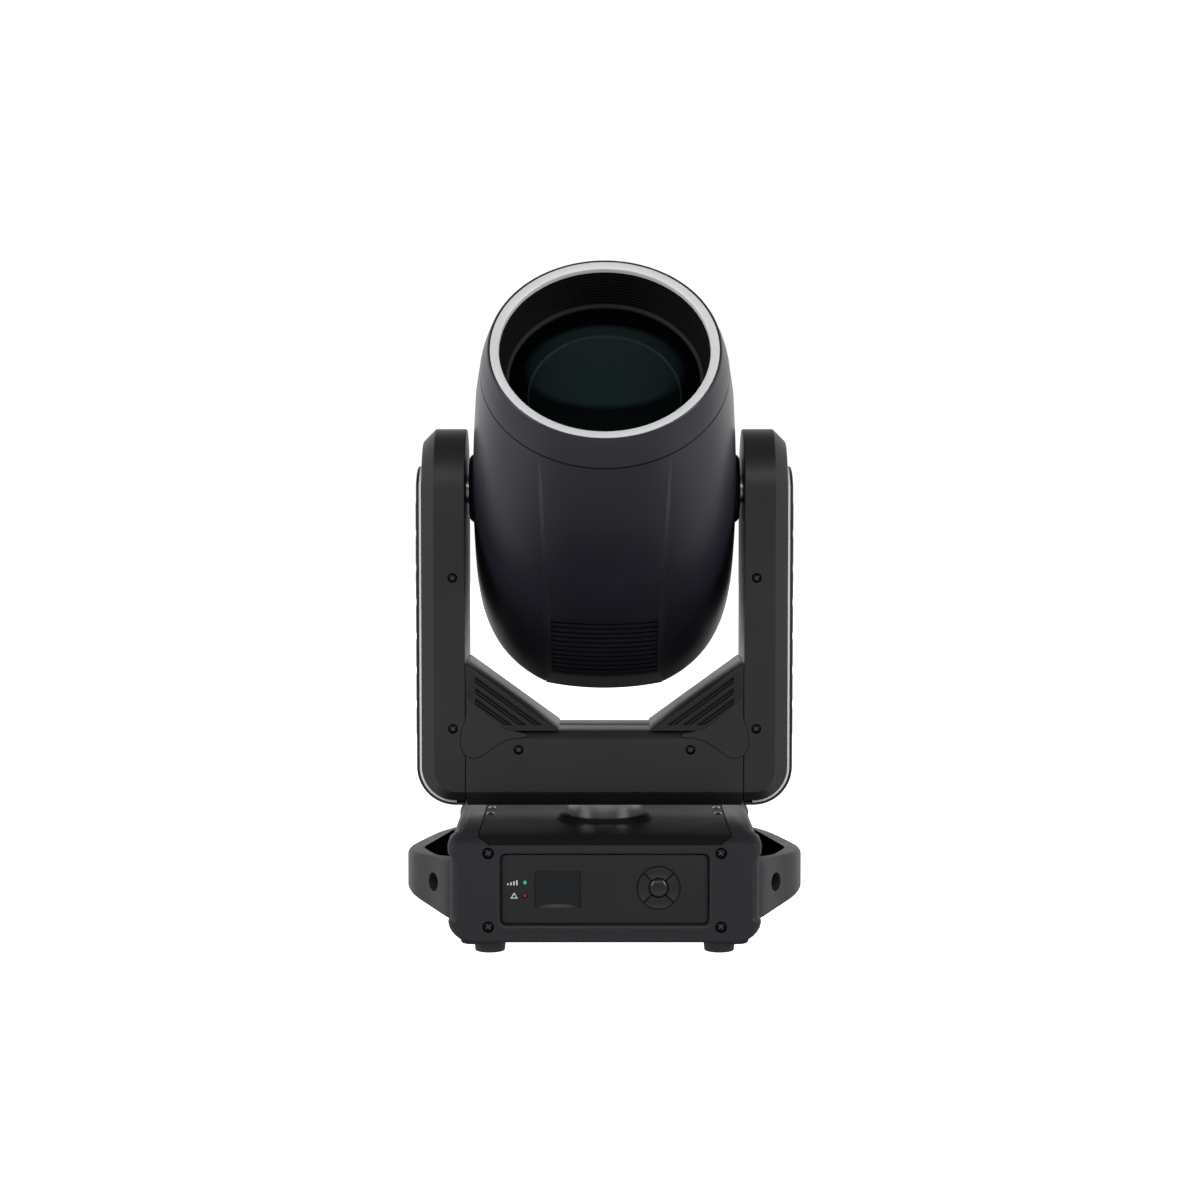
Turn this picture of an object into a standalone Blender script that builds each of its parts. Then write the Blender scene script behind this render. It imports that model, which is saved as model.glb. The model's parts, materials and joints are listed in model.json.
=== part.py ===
"""Moving head stage light: base, yoke and head as separate named pieces.

Sizes are in millimetres until a mesh is made; meshes and objects are in metres.
The origin is at the centre of the base's underside, on the pan axis. +Z is up and
the front, with the display and keys, faces -Y. The head is modelled in its own
frame, with +Z along the lens axis, and hangs on an empty on the tilt axis.
"""
import math

import bmesh
import bpy
from mathutils import Matrix, Vector

MM = 0.001
GAP = 0.3                   # clearance between pieces that rest on each other

# Base
BASE_X, BASE_Y, BASE_TOP = 138.0, 126.0, 94.0
BASE_WALL = 8.0
BASE_ROUND = 9.0
LID_X, LID_LIP_Z, LID_THICK = 111.0, 87.5, 3.0
LID_SPLIT_Y = 40.0
PLATE_THICK = 3.0
FOOT_X, FOOT_Y, FOOT_R, FOOT_DROP = 101.6, 100.0, 14.2, 10.5
CORNER_CUT, CORNER_THICK = 52.0, 6.0    # corner webs that carry the feet

# Front panel
PANEL_X, PANEL_LOW, PANEL_HIGH, PANEL_Y = 87.7, 21.1, 76.1, -122.0
RECESS_X, RECESS_LOW, RECESS_HIGH = 95.2, 15.0, 80.4
DISPLAY = (-61.7, -20.8, 31.3, 64.0)
LIGHT_X, LIGHT_HIGH_Z, LIGHT_LOW_Z = -70.0, 53.4, 41.9
KEYPAD_X, KEYPAD_Z, KEYPAD_R, ENTER_R = 47.4, 49.0, 18.9, 7.9

# Rear panel
REAR_X, REAR_LOW, REAR_HIGH = 104.0, 18.0, 76.0
SOCKET_Z, SOCKET_R = 48.0, 13.0
SOCKET_IN_X, SOCKET_OUT_X = -30.0, -70.0
INLET_X, INLET_HALF_X, INLET_HALF_Z = 62.0, 17.0, 14.0

# Handles
HANDLE_TOP, HANDLE_LOW_ROOT, HANDLE_LOW_TIP = 71.0, 18.0, 34.0
HANDLE_REACH = 179.0

# Pan drive
TUBE_R, TUBE_BORE, TUBE_TOP = 36.7, 31.0, 142.0
COLLAR_R, COLLAR_TOP = 43.8, 98.0
BEARING_R = 43.0
PAN_PULLEY_R, PAN_MOTOR_X, PAN_PINION_R = 46.0, 80.0, 11.5
BELT_LOW, BELT_HIGH, BELT_THICK = 128.0, 138.0, 1.5

# Yoke
YOKE_LOW, BEAM_TOP, YOKE_Y = 113.0, 179.5, 54.0
BEAM_X, BEAM_FACE_TOP, BEAM_BEVEL_TOP = 125.0, 172.6, 126.4
ARM_IN, ARM_CHAMFER_X, ARM_OUT = 125.7, 153.7, 165.2
ARM_CORNER_R, ARM_CORNER_X, ARM_CORNER_Z = 30.2, 135.0, 148.0
ARM_CHAMFER = 11.5
SKIN = 3.0
TRIM_Y, TRIM_TOP = 42.0, 418.0
GUSSET_X, GUSSET_TOP = 41.0, 241.0
TILT_Z = 397.5
TILT_MOTOR_Z, TILT_PULLEY_R, TILT_PINION_R = 150.0, 36.0, 9.0
TILT_BELT_IN, TILT_BELT_OUT = 140.5, 149.5

# Head, measured along the lens axis from the tilt axis
REST_ELEVATION = 38.5
NOSE_Z, SEAM_Z, TAIL_Z = 197.7, 170.0, -177.0
NOSE_R, SEAM_R = 100.3, 108.0
BODY_X, BODY_Y = 120.0, 113.8
TAPER_START, TAPER_TIP, TAPER_POWER = -29.0, -180.0, 4.0
SQUARENESS = 3.14
SPINE_X, SPINE_FLANK = 56.0, 8.0
SPINE_HIGH, SPINE_VENT_END, SPINE_TAIL = 119.0, 116.0, 103.5
VENT_END_Z = -126.0
RING_R, RING_BORE = 98.6, 90.7
LENS_R, LENS_Z = 81.5, 139.0
AXLE_R = 13.5


# ---------------------------------------------------------------- materials

def material(name, colour, roughness, metallic=0.0, alpha=1.0):
    made = bpy.data.materials.new(name)
    made.use_nodes = True
    shader = made.node_tree.nodes["Principled BSDF"]
    shader.inputs["Base Color"].default_value = (*colour, 1.0)
    shader.inputs["Roughness"].default_value = roughness
    shader.inputs["Metallic"].default_value = metallic
    shader.inputs["Alpha"].default_value = alpha
    return made


# ------------------------------------------------------------ mesh builders

def prism(outline, low, high, axis="z"):
    """A flat outline pushed along one axis from low to high."""
    place = {"x": lambda a, b, c: (c, a, b),
             "y": lambda a, b, c: (a, c, b),
             "z": lambda a, b, c: (a, b, c)}[axis]
    made = bmesh.new()
    rings = [[made.verts.new(place(a, b, c)) for a, b in outline] for c in (low, high)]
    made.faces.new(rings[0])
    made.faces.new(rings[1])
    bridge(made, rings[0], rings[1])
    return made


def block(low, high):
    (x0, y0, z0), (x1, y1, z1) = low, high
    return prism([(x0, y0), (x1, y0), (x1, y1), (x0, y1)], z0, z1)


def bridge(made, first, second):
    """Four-sided faces between two closed loops of the same length."""
    count = len(first)
    for i in range(count):
        j = (i + 1) % count
        made.faces.new((first[i], first[j], second[j], second[i]))


def turned(profile, segments=32):
    """A closed (radius, height) profile turned round Z."""
    made = bmesh.new()
    rings = []
    for radius, height in profile:
        if radius == 0:
            rings.append([made.verts.new((0, 0, height))])
            continue
        angles = [2 * math.pi * i / segments for i in range(segments)]
        rings.append([made.verts.new((radius * math.cos(a), radius * math.sin(a), height))
                      for a in angles])
    for first, second in zip(rings, rings[1:] + rings[:1]):
        if len(first) == 1 and len(second) == 1:
            continue
        if len(first) == 1 or len(second) == 1:
            centre, ring = (first[0], second) if len(first) == 1 else (second[0], first)
            for i in range(segments):
                made.faces.new((centre, ring[i], ring[(i + 1) % segments]))
            continue
        bridge(made, first, second)
    return made


def cylinder(radius, low, high, segments=32):
    return turned([(0, low), (radius, low), (radius, high), (0, high)], segments)


def ring(inner, outer, low, high, segments=32):
    return turned([(inner, low), (outer, low), (outer, high), (inner, high)], segments)


def loft(outlines, loop=False):
    """Closed outlines joined one after another, with flat ends or back to the first."""
    made = bmesh.new()
    rings = [[made.verts.new(point) for point in outline] for outline in outlines]
    for first, second in zip(rings, rings[1:]):
        bridge(made, first, second)
    if loop:
        bridge(made, rings[-1], rings[0])
    else:
        made.faces.new(rings[0])
        made.faces.new(rings[-1])
    return made


def turn(made, degrees, axis):
    made.transform(Matrix.Rotation(math.radians(degrees), 4, axis))
    return made


def along_x(made):
    return turn(made, 90, "Y")


def along_y(made):
    return turn(made, -90, "X")


def shift(made, x=0.0, y=0.0, z=0.0):
    made.transform(Matrix.Translation((x, y, z)))
    return made


def mirror_x(made):
    made.transform(Matrix.Diagonal((-1, 1, 1, 1)))
    bmesh.ops.reverse_faces(made, faces=made.faces)
    return made


def together(shapes):
    """Several separate shapes in one mesh, for use as one cutter."""
    made = shapes[0]
    for shape in shapes[1:]:
        copy = bpy.data.meshes.new("copy")
        shape.to_mesh(copy)
        shape.free()
        made.from_mesh(copy)
        bpy.data.meshes.remove(copy)
    return made


# ------------------------------------------------------------- object makers

def put(name, made, look, pivot=None, origin=(0, 0, 0)):
    """Turn a millimetre bmesh into an object, with its origin where asked."""
    shift(made, -origin[0], -origin[1], -origin[2])
    made.transform(Matrix.Scale(MM, 4))
    bmesh.ops.recalc_face_normals(made, faces=made.faces)
    mesh = bpy.data.meshes.new(name)
    made.to_mesh(mesh)
    made.free()
    mesh.shade_smooth()
    mesh.set_sharp_from_angle(angle=math.radians(35))
    thing = bpy.data.objects.new(name, mesh)
    bpy.context.scene.collection.objects.link(thing)
    thing.location = Vector(origin) * MM
    if look is not None:
        mesh.materials.append(look)
    if pivot is not None:
        thing.parent = pivot
    return thing


def cut(thing, made, operation="DIFFERENCE"):
    """Take a shape away from an object, or join it on, with an exact Boolean."""
    tool = put(thing.name + "_tool", made, None, thing.parent)
    tool.hide_render = True
    tool.display_type = "WIRE"
    boolean = thing.modifiers.new("boolean", "BOOLEAN")
    boolean.operation = operation
    boolean.solver = "EXACT"
    boolean.object = tool
    return thing


def soften(thing, width, segments=2, angle=40):
    bevel = thing.modifiers.new("bevel", "BEVEL")
    bevel.width = width * MM
    bevel.segments = segments
    bevel.limit_method = "ANGLE"
    bevel.angle_limit = math.radians(angle)
    return thing


def empty(name, place, parent=None):
    made = bpy.data.objects.new(name, None)
    bpy.context.scene.collection.objects.link(made)
    made.location = Vector(place) * MM
    made.parent = parent
    return made


# --------------------------------------------------------------------- base

def notched_rectangle(half_x, half_y, corner):
    """A rectangle about the origin with a square notch at each of its four corners."""
    quarter = [(half_x, half_y - corner), (half_x - corner, half_y - corner),
               (half_x - corner, half_y)]
    left = [(-x, y) for x, y in quarter[::-1]]
    return quarter + left + [(-x, -y) for x, y in quarter + left]


def base_shell(looks):
    inner_x, inner_y = BASE_X - BASE_WALL, BASE_Y - BASE_WALL
    plate = prism(notched_rectangle(inner_x - GAP, inner_y - GAP, CORNER_CUT), 0, PLATE_THICK)
    put("base_bottom_plate", plate, looks["steel"])

    housing = put("base_housing", block((-BASE_X, -BASE_Y, GAP), (BASE_X, BASE_Y, BASE_TOP)),
                  looks["black_metal"])
    soften(housing, BASE_ROUND)
    cut(housing, block((-inner_x, -inner_y, CORNER_THICK), (inner_x, inner_y, BASE_TOP - 4)))
    cut(housing, prism(notched_rectangle(inner_x, inner_y, CORNER_CUT), -1, CORNER_THICK + 1))
    cut(housing, block((-LID_X - GAP, -BASE_Y - 1, LID_LIP_Z - GAP),
                       (LID_X + GAP, BASE_Y + 1, BASE_TOP + 1)))
    cut(housing, recess_tool())
    cut(housing, block((-REAR_X, inner_y - 1, REAR_LOW), (REAR_X, BASE_Y + 1, REAR_HIGH)))


def recess_tool():
    """The sloped frame round the front panel, and the opening behind it."""
    def rectangle(half, low, high, y):
        return [(-half, y, low), (half, y, low), (half, y, high), (-half, y, high)]
    inner = (PANEL_X + GAP, PANEL_LOW - GAP, PANEL_HIGH + GAP)
    return loft([rectangle(RECESS_X + 1.9, RECESS_LOW - 1.5, RECESS_HIGH + 1.1, -BASE_Y - 1),
                 rectangle(*inner, PANEL_Y),
                 rectangle(*inner, -BASE_Y + BASE_WALL + 1)])


def lid(name, facing, looks):
    """Half of the top cover, with a sloping lip over the front or rear edge."""
    edge = BASE_Y - GAP
    split = LID_SPLIT_Y * facing + GAP / 2
    outline = [(edge, LID_LIP_Z), (edge - 8, BASE_TOP), (split, BASE_TOP),
               (split, BASE_TOP - LID_THICK),
               (edge - 10, BASE_TOP - LID_THICK), (edge - 10, LID_LIP_Z)]
    made = prism([(y * facing, z) for y, z in outline], -LID_X, LID_X, "x")
    thing = put(name, made, looks["black_metal"])
    return cut(thing, cylinder(COLLAR_R + 0.5, BASE_TOP - 9, BASE_TOP + 3, 40))


def feet(looks):
    for end, y in (("front", -FOOT_Y), ("rear", FOOT_Y)):
        for side, x in (("left", -FOOT_X), ("right", FOOT_X)):
            profile = [(0, -FOOT_DROP), (FOOT_R - 2, -FOOT_DROP), (FOOT_R - 0.8, 2 - FOOT_DROP),
                       (FOOT_R, 0), (0, 0)]
            put(f"foot_{end}_{side}", turned(profile, 20), looks["rubber"]).location = (
                x * MM, y * MM, 0)


def front_panel(looks):
    panel = put("control_panel", block((-PANEL_X, PANEL_Y, PANEL_LOW),
                                       (PANEL_X, PANEL_Y + 3, PANEL_HIGH)), looks["panel"])
    x0, x1, z0, z1 = DISPLAY
    cut(panel, block((x0, PANEL_Y - 1, z0), (x1, PANEL_Y + 4, z1)))
    cut(panel, shift(along_y(cylinder(KEYPAD_R + GAP, -2, 5)), KEYPAD_X, PANEL_Y, KEYPAD_Z))
    for height in (LIGHT_HIGH_Z, LIGHT_LOW_Z):
        cut(panel, shift(along_y(cylinder(2.5, -2, 5, 12)), LIGHT_X, PANEL_Y, height))
    put("display_window", block((x0 + GAP, PANEL_Y + 0.6, z0 + GAP),
                                (x1 - GAP, PANEL_Y + 2.6, z1 - GAP)), looks["glass"])
    pipe = put("status_light_pipe", block((LIGHT_X - 3, PANEL_Y + 4, LIGHT_LOW_Z - 4),
                                          (LIGHT_X + 3, PANEL_Y + 7, LIGHT_HIGH_Z + 4)),
               looks["clear"])
    for height in (LIGHT_HIGH_Z, LIGHT_LOW_Z):
        peg = shift(along_y(cylinder(2.2, -0.6, 5, 12)), LIGHT_X, PANEL_Y, height)
        cut(pipe, peg, "UNION")


def keypad(looks):
    """A round centre key with four curved keys round it."""
    names = ("button_right", "button_up", "button_left", "button_down")
    inner, outer, half = ENTER_R + 1.3, KEYPAD_R, math.radians(45)
    for index, name in enumerate(names):
        middle = index * math.pi / 2
        arc = [middle - half + math.asin(0.5 / outer) + (2 * half - 2 * math.asin(0.5 / outer))
               * i / 6 for i in range(7)]
        back = [middle + half - math.asin(0.5 / inner) - (2 * half - 2 * math.asin(0.5 / inner))
                * i / 4 for i in range(5)]
        outline = [(outer * math.cos(a), outer * math.sin(a)) for a in arc]
        outline += [(inner * math.cos(a), inner * math.sin(a)) for a in back]
        made = prism([(KEYPAD_X + a, KEYPAD_Z + b) for a, b in outline],
                     PANEL_Y - 1.4, PANEL_Y + 4, "y")
        put(name, made, looks["key"], origin=(KEYPAD_X, PANEL_Y, KEYPAD_Z))
    profile = [(0, -2.6), (ENTER_R - 1.5, -2.2), (ENTER_R, -1), (ENTER_R, 4), (0, 4)]
    enter = shift(along_y(turned(profile, 24)), KEYPAD_X, PANEL_Y, KEYPAD_Z)
    put("button_enter", enter, looks["key"], origin=(KEYPAD_X, PANEL_Y, KEYPAD_Z))


def rear_panel(looks):
    plate_y = BASE_Y - 5
    panel = put("rear_panel", block((-REAR_X + GAP, plate_y - 3, REAR_LOW + GAP),
                                    (REAR_X - GAP, plate_y, REAR_HIGH - GAP)), looks["panel"])
    for name, x in (("signal_socket_in", SOCKET_IN_X), ("signal_socket_out", SOCKET_OUT_X)):
        profile = [(0, -22), (SOCKET_R - 1, -22), (SOCKET_R - 1, 0), (SOCKET_R + 2, 0),
                   (SOCKET_R + 2, 2.5), (SOCKET_R - 3, 2.5), (SOCKET_R - 3, -14), (0, -14)]
        socket = shift(along_y(turned(profile, 20)), x, plate_y + GAP, SOCKET_Z)
        put(name, socket, looks["connector"])
        cut(panel, shift(along_y(cylinder(SOCKET_R - 1 + GAP, -5, 2, 20)), x, plate_y, SOCKET_Z))
    low_z, high_z = SOCKET_Z - INLET_HALF_Z, SOCKET_Z + INLET_HALF_Z
    inlet = put("power_inlet", block((INLET_X - INLET_HALF_X, plate_y - 24, low_z),
                                     (INLET_X + INLET_HALF_X, plate_y + 3, high_z)),
                looks["connector"])
    cut(inlet, block((INLET_X - INLET_HALF_X + 4, plate_y - 14, low_z + 4),
                     (INLET_X + INLET_HALF_X - 4, plate_y + 4, high_z - 4)))
    cut(panel, block((INLET_X - INLET_HALF_X - GAP, plate_y - 5, low_z - GAP),
                     (INLET_X + INLET_HALF_X + GAP, plate_y + 1, high_z + GAP)))


def handle(side, looks):
    """A loop of cast metal with a steep front limb and a long shallow rear one."""
    root = BASE_X + GAP
    outer = [(root, -119), (HANDLE_REACH - 9, -62), (HANDLE_REACH - 2, -48),
             (HANDLE_REACH, -34), (HANDLE_REACH - 1, -18), (HANDLE_REACH - 6, 0),
             (root + 6, 112), (root, 119)]
    inner = [(root, 92), (root + 9, 78), (HANDLE_REACH - 22, 0), (HANDLE_REACH - 16, -20),
             (HANDLE_REACH - 15, -34), (HANDLE_REACH - 19, -46), (root + 7, -84), (root, -88)]

    def low(x):
        share = (x - root) / (HANDLE_REACH - root)
        return HANDLE_LOW_ROOT + share * (HANDLE_LOW_TIP - HANDLE_LOW_ROOT)
    outline = outer + inner
    made = loft([[(x, y, low(x)) for x, y in outline], [(x, y, HANDLE_TOP) for x, y in outline]])
    eye = turn(cylinder(8.4, -30, 30, 16), 90, "X")
    eye = shift(turn(eye, 58, "Z"), root + 17.5, -92, 49)
    if side < 0:
        mirror_x(made)
        mirror_x(eye)
    name = "carry_handle_left" if side < 0 else "carry_handle_right"
    cut(put(name, made, looks["grey_metal"]), eye)


def base_inside(looks):
    put("power_supply", block((-126, -90, CORNER_THICK + 2), (-66, 92, 72)), looks["steel"])
    tube = [(TUBE_BORE, PLATE_THICK + GAP), (58, PLATE_THICK + GAP), (58, 9), (TUBE_R, 9),
            (TUBE_R, TUBE_TOP), (TUBE_BORE, TUBE_TOP)]
    put("pan_tube", turned(tube, 40), looks["polished"])
    collar = [(TUBE_R + GAP, BASE_TOP - 8), (COLLAR_R, BASE_TOP - 8), (COLLAR_R, BASE_TOP + 1),
              (COLLAR_R - 2.5, COLLAR_TOP), (TUBE_R + GAP, COLLAR_TOP)]
    put("pan_collar", turned(collar, 40), looks["black_metal"])
    put("pan_pulley", ring(TUBE_R + GAP, PAN_PULLEY_R, BELT_LOW - 1, BELT_HIGH + 1, 40),
        looks["alloy"])


# --------------------------------------------------------------------- yoke

def arm_low(x):
    """Height of the arm's underside: flat, then round the outer bottom corner."""
    reach = max(0.0, x - ARM_CORNER_X)
    return ARM_CORNER_Z - math.sqrt(ARM_CORNER_R ** 2 - min(reach, ARM_CORNER_R) ** 2)


def arm_outline(x, half_depth, inset):
    """Side outline of the arm: flat sides with a round top about the tilt axis."""
    half = half_depth - inset
    low = arm_low(x) + inset
    steps = 14
    top = [(x, half * math.cos(math.pi * i / steps), TILT_Z + half * math.sin(math.pi * i / steps))
           for i in range(steps + 1)]
    return [(x, half, low)] + top + [(x, -half, low)]


def arm_cover(side, looks):
    """The arm's outer shell, a cup that opens on the arm's inner side."""
    stations = [(ARM_IN, YOKE_Y), (ARM_CORNER_X, YOKE_Y), (144, YOKE_Y), (150, YOKE_Y),
                (ARM_CHAMFER_X, YOKE_Y), (158, YOKE_Y - 4.3), (162.2, YOKE_Y - 8.5),
                (ARM_OUT, YOKE_Y - ARM_CHAMFER)]
    outside = [arm_outline(x, depth, 0) for x, depth in stations]
    inside = [arm_outline(x, depth, SKIN) for x, depth in stations[:-1]]
    made = loft(inside[::-1] + outside)
    name = "arm_cover_left" if side < 0 else "arm_cover_right"
    put(name, mirror_x(made) if side < 0 else made, looks["black_plastic"])


def arm_band(offset_in, offset_out, top):
    """A sheet that follows the arm's outer side down and round its bottom corner."""
    def path(offset):
        radius = ARM_CORNER_R + offset
        turns = [math.radians(90 * i / 8) for i in range(9)]
        points = [(ARM_CORNER_X + radius * math.cos(a), ARM_CORNER_Z - radius * math.sin(a))
                  for a in turns]
        return [(ARM_CORNER_X + radius, top)] + points + [(ARM_IN + 1, ARM_CORNER_Z - radius)]
    return path(offset_out) + path(offset_in)[::-1]


def arm_sides(side, looks):
    name = "left" if side < 0 else "right"
    bands = ((f"arm_trim_{name}", GAP, 2.8, TRIM_Y, "bright"),
             (f"arm_side_cover_{name}", 3.1, 4.8, TRIM_Y - 0.5, "black_plastic"))
    for label, inner, outer, half, look in bands:
        made = prism(arm_band(inner, outer, TRIM_TOP), -half, half, "y")
        put(label, mirror_x(made) if side < 0 else made, looks[look])
    plate = [(y, z) for _, y, z in arm_outline(ARM_IN, YOKE_Y, SKIN + GAP)]
    made = prism(plate, ARM_IN, ARM_IN + SKIN, "x")
    holes = together([
        shift(along_x(cylinder(AXLE_R + 0.6, ARM_IN - 2, ARM_IN + 5, 24)), z=TILT_Z),
        shift(along_x(cylinder(9, ARM_IN - 2, ARM_IN + 5, 16)), z=TILT_MOTOR_Z)])
    if side < 0:
        mirror_x(made)
        mirror_x(holes)
    cut(put(f"yoke_arm_plate_{name}", made, looks["black_metal"]), holes)


def beam_cover(name, facing, looks):
    """One half of the cross beam's skin: underside, sloped bevel, face and top."""
    face, inset = YOKE_Y, SKIN
    outside = [(0.15, YOKE_LOW), (face - 13, YOKE_LOW), (face, BEAM_BEVEL_TOP),
               (face, BEAM_FACE_TOP), (face - 7, BEAM_TOP), (0.15, BEAM_TOP)]
    inside = [(0.15, BEAM_TOP - inset), (face - 8.2, BEAM_TOP - inset),
              (face - inset, BEAM_FACE_TOP - 1.2), (face - inset, BEAM_BEVEL_TOP + 1.2),
              (face - 14.3, YOKE_LOW + inset), (0.15, YOKE_LOW + inset)]
    made = prism([(y * facing, z) for y, z in outside + inside], -BEAM_X, BEAM_X, "x")
    cover = put(name, made, looks["black_plastic"])
    cut(cover, cylinder(TUBE_R + 1.3, YOKE_LOW - 2, YOKE_LOW + 8, 40))


def gusset(side, looks):
    """A sloped corner cover between the beam's top and the arm's inner face."""
    near, low, high, half = GUSSET_X, BEAM_TOP + GAP, GUSSET_TOP, YOKE_Y - 2
    far = ARM_IN - GAP
    made = prism([(near, low), (far, low), (far, high)], -half, half, "y")
    hollow = prism([(near + 11, low - 1), (far - SKIN, low - 1), (far - SKIN, high - 9.5)],
                   -half + SKIN, half - SKIN, "y")
    if side < 0:
        mirror_x(made)
        mirror_x(hollow)
    name = "gusset_cover_left" if side < 0 else "gusset_cover_right"
    cut(put(name, made, looks["black_plastic"]), hollow)


def belt(radius_a, radius_b, distance, low, high):
    """A closed belt round two pulleys, the second one 'distance' away along X."""
    def loop(offset):
        first, second = radius_a + offset, radius_b + offset
        lean = math.acos((first - second) / distance)
        big = [lean + (2 * math.pi - 2 * lean) * i / 24 for i in range(25)]
        small = [-lean + 2 * lean * i / 10 for i in range(11)]
        points = [(first * math.cos(a), first * math.sin(a)) for a in big]
        return points + [(distance + second * math.cos(a), second * math.sin(a)) for a in small]
    inner, outer = loop(0.4), loop(0.4 + BELT_THICK)
    rings = [[(x, y, z) for x, y in points] for points, z in
             ((inner, low), (outer, low), (outer, high), (inner, high))]
    return loft(rings, loop=True)


def yoke_inside(looks):
    plate_low = YOKE_LOW + SKIN + GAP
    plate = put("yoke_cross_plate", block((-122, -38, plate_low), (122, 38, plate_low + 4)),
                looks["steel"])
    cut(plate, cylinder(TUBE_R + 0.6, plate_low - 2, plate_low + 6, 40))
    put("pan_bearing", ring(TUBE_R + GAP, BEARING_R, plate_low + 4 + GAP, BELT_LOW - 1 - GAP, 40),
        looks["steel"])
    motor_low = BELT_HIGH + 3
    put("pan_motor", block((PAN_MOTOR_X - 22, -22, motor_low),
                           (PAN_MOTOR_X + 22, 22, BEAM_TOP - SKIN - 1)), looks["motor"])
    put("pan_belt", belt(PAN_PULLEY_R, PAN_PINION_R, PAN_MOTOR_X, BELT_LOW, BELT_HIGH),
        looks["rubber"])
    pinion = shift(cylinder(PAN_PINION_R, BELT_LOW - 0.5, motor_low - GAP, 20), PAN_MOTOR_X)
    put("pan_motor_pulley", pinion, looks["alloy"], origin=(PAN_MOTOR_X, 0, 0))

    motor_in = ARM_IN - 4
    put("tilt_motor", block((-motor_in, -21, TILT_MOTOR_Z - 21),
                            (-motor_in + 40, 21, TILT_MOTOR_Z + 21)), looks["motor"])
    made = belt(TILT_PULLEY_R, TILT_PINION_R, TILT_Z - TILT_MOTOR_Z, TILT_BELT_IN, TILT_BELT_OUT)
    made = mirror_x(shift(along_x(made), z=TILT_Z))
    put("tilt_belt", made, looks["rubber"])
    pinion = [(0, motor_in + GAP), (5, motor_in + GAP), (5, TILT_BELT_IN - 1),
              (TILT_PINION_R, TILT_BELT_IN - 1), (TILT_PINION_R, TILT_BELT_OUT + 1),
              (0, TILT_BELT_OUT + 1)]
    made = mirror_x(shift(along_x(turned(pinion, 20)), z=TILT_MOTOR_Z))
    put("tilt_motor_pulley", made, looks["alloy"], origin=(0, 0, TILT_MOTOR_Z))


# --------------------------------------------------------------------- head

def blend(value, first, second):
    """Straight-line mix that stays level outside its two ends."""
    (a, low), (b, high) = first, second
    share = min(1.0, max(0.0, (value - a) / (b - a)))
    return low + share * (high - low)


def half_width(z):
    """Half width of the head's cheeks at one station along the lens axis."""
    stations = [(SEAM_Z, SEAM_R), (130, 113.0), (80, 116.5), (20, BODY_X), (TAPER_START, BODY_X)]
    if z <= TAPER_START:
        share = (TAPER_START - z) / (TAPER_START - TAPER_TIP)
        return BODY_X * (1 - share ** TAPER_POWER) ** (1 / TAPER_POWER)
    for first, second in zip(stations, stations[1:]):
        if z >= second[0]:
            return blend(z, first, second)
    return BODY_X


def half_height(z):
    late = max(0.0, (TAPER_START - z) / (TAPER_START - TAPER_TIP))
    return blend(z, (SEAM_Z, SEAM_R), (-30, BODY_Y)) * (1 - 0.05 * late ** 6)


def spine_height(z):
    """Height of the flat band that runs along the top and the underside."""
    if z >= 40:
        return blend(z, (SEAM_Z, SEAM_R), (40, SPINE_HIGH))
    if z >= VENT_END_Z:
        return blend(z, (-20, SPINE_HIGH), (VENT_END_Z, SPINE_VENT_END))
    return blend(z, (VENT_END_Z, SPINE_VENT_END), (TAIL_Z, SPINE_TAIL))


def section(z, inset):
    """Half of the head's outline at z, from +X over the crown to -X, at y > 0."""
    wide, high = half_width(z) - inset, half_height(z) - inset
    power = blend(z, (SEAM_Z, 2.0), (-30, SQUARENESS))
    crown = spine_height(z) - inset
    radius = blend(z, (SEAM_Z, SEAM_R), (TAIL_Z, 250.0))
    edge = SPINE_X - inset * 0.5
    flat = edge - blend(z, (SEAM_Z, 1.0), (TAIL_Z, SPINE_FLANK))

    def cheek(x):
        return high * (1 - min(1.0, x / wide) ** power) ** (1 / power)

    def band(x):
        return crown - radius + math.sqrt(radius ** 2 - x ** 2)
    stop = math.acos(min(1.0, edge / wide))
    steps = 7
    side = [wide * math.cos(stop * i / steps) for i in range(steps + 1)]
    points = [(x, max(cheek(x), GAP / 2)) for x in side[:-1]]
    points.append((edge, cheek(edge)))
    points += [(x, max(band(x), cheek(x))) for x in (flat, flat * 0.5)]
    points.append((0, max(band(0), cheek(0))))
    return points + [(-x, y) for x, y in points[-2::-1]]


def head_cover(name, up, looks, pivot):
    stations = [SEAM_Z - GAP, 130, 80, 20, -30, -70, -100, VENT_END_Z, -145, -160, -170, TAIL_Z]
    outside = [[(x, y * up, z) for x, y in section(z, 0)] for z in stations]
    inner_stations = stations[:-1] + [TAIL_Z + SKIN]
    inside = [[(x, y * up, z) for x, y in section(z, SKIN)] for z in inner_stations]
    made = bmesh.new()
    outer = [[made.verts.new(p) for p in row] for row in outside]
    inner = [[made.verts.new(p) for p in row] for row in inside]
    for grid in (outer, inner):
        for first, second in zip(grid, grid[1:]):
            for i in range(len(first) - 1):
                made.faces.new((first[i], first[i + 1], second[i + 1], second[i]))
    for first, second, other, next_other in zip(outer, outer[1:], inner, inner[1:]):
        made.faces.new((first[0], second[0], next_other[0], other[0]))
        made.faces.new((first[-1], second[-1], next_other[-1], other[-1]))
    for i in range(len(outer[0]) - 1):
        made.faces.new((outer[0][i], outer[0][i + 1], inner[0][i + 1], inner[0][i]))
    close_tail(made, outer[-1], inner[-1])
    cover = put(name, made, looks["black_plastic"], pivot)
    cut(cover, along_x(cylinder(AXLE_R + 0.7, -130, 130, 24)))


def close_tail(made, outer, inner):
    """The flat rear wall, with the seam between the halves left open as a slit."""
    made.faces.new(outer)
    made.faces.new(inner)
    made.faces.new((outer[0], outer[-1], inner[-1], inner[0]))


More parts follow.
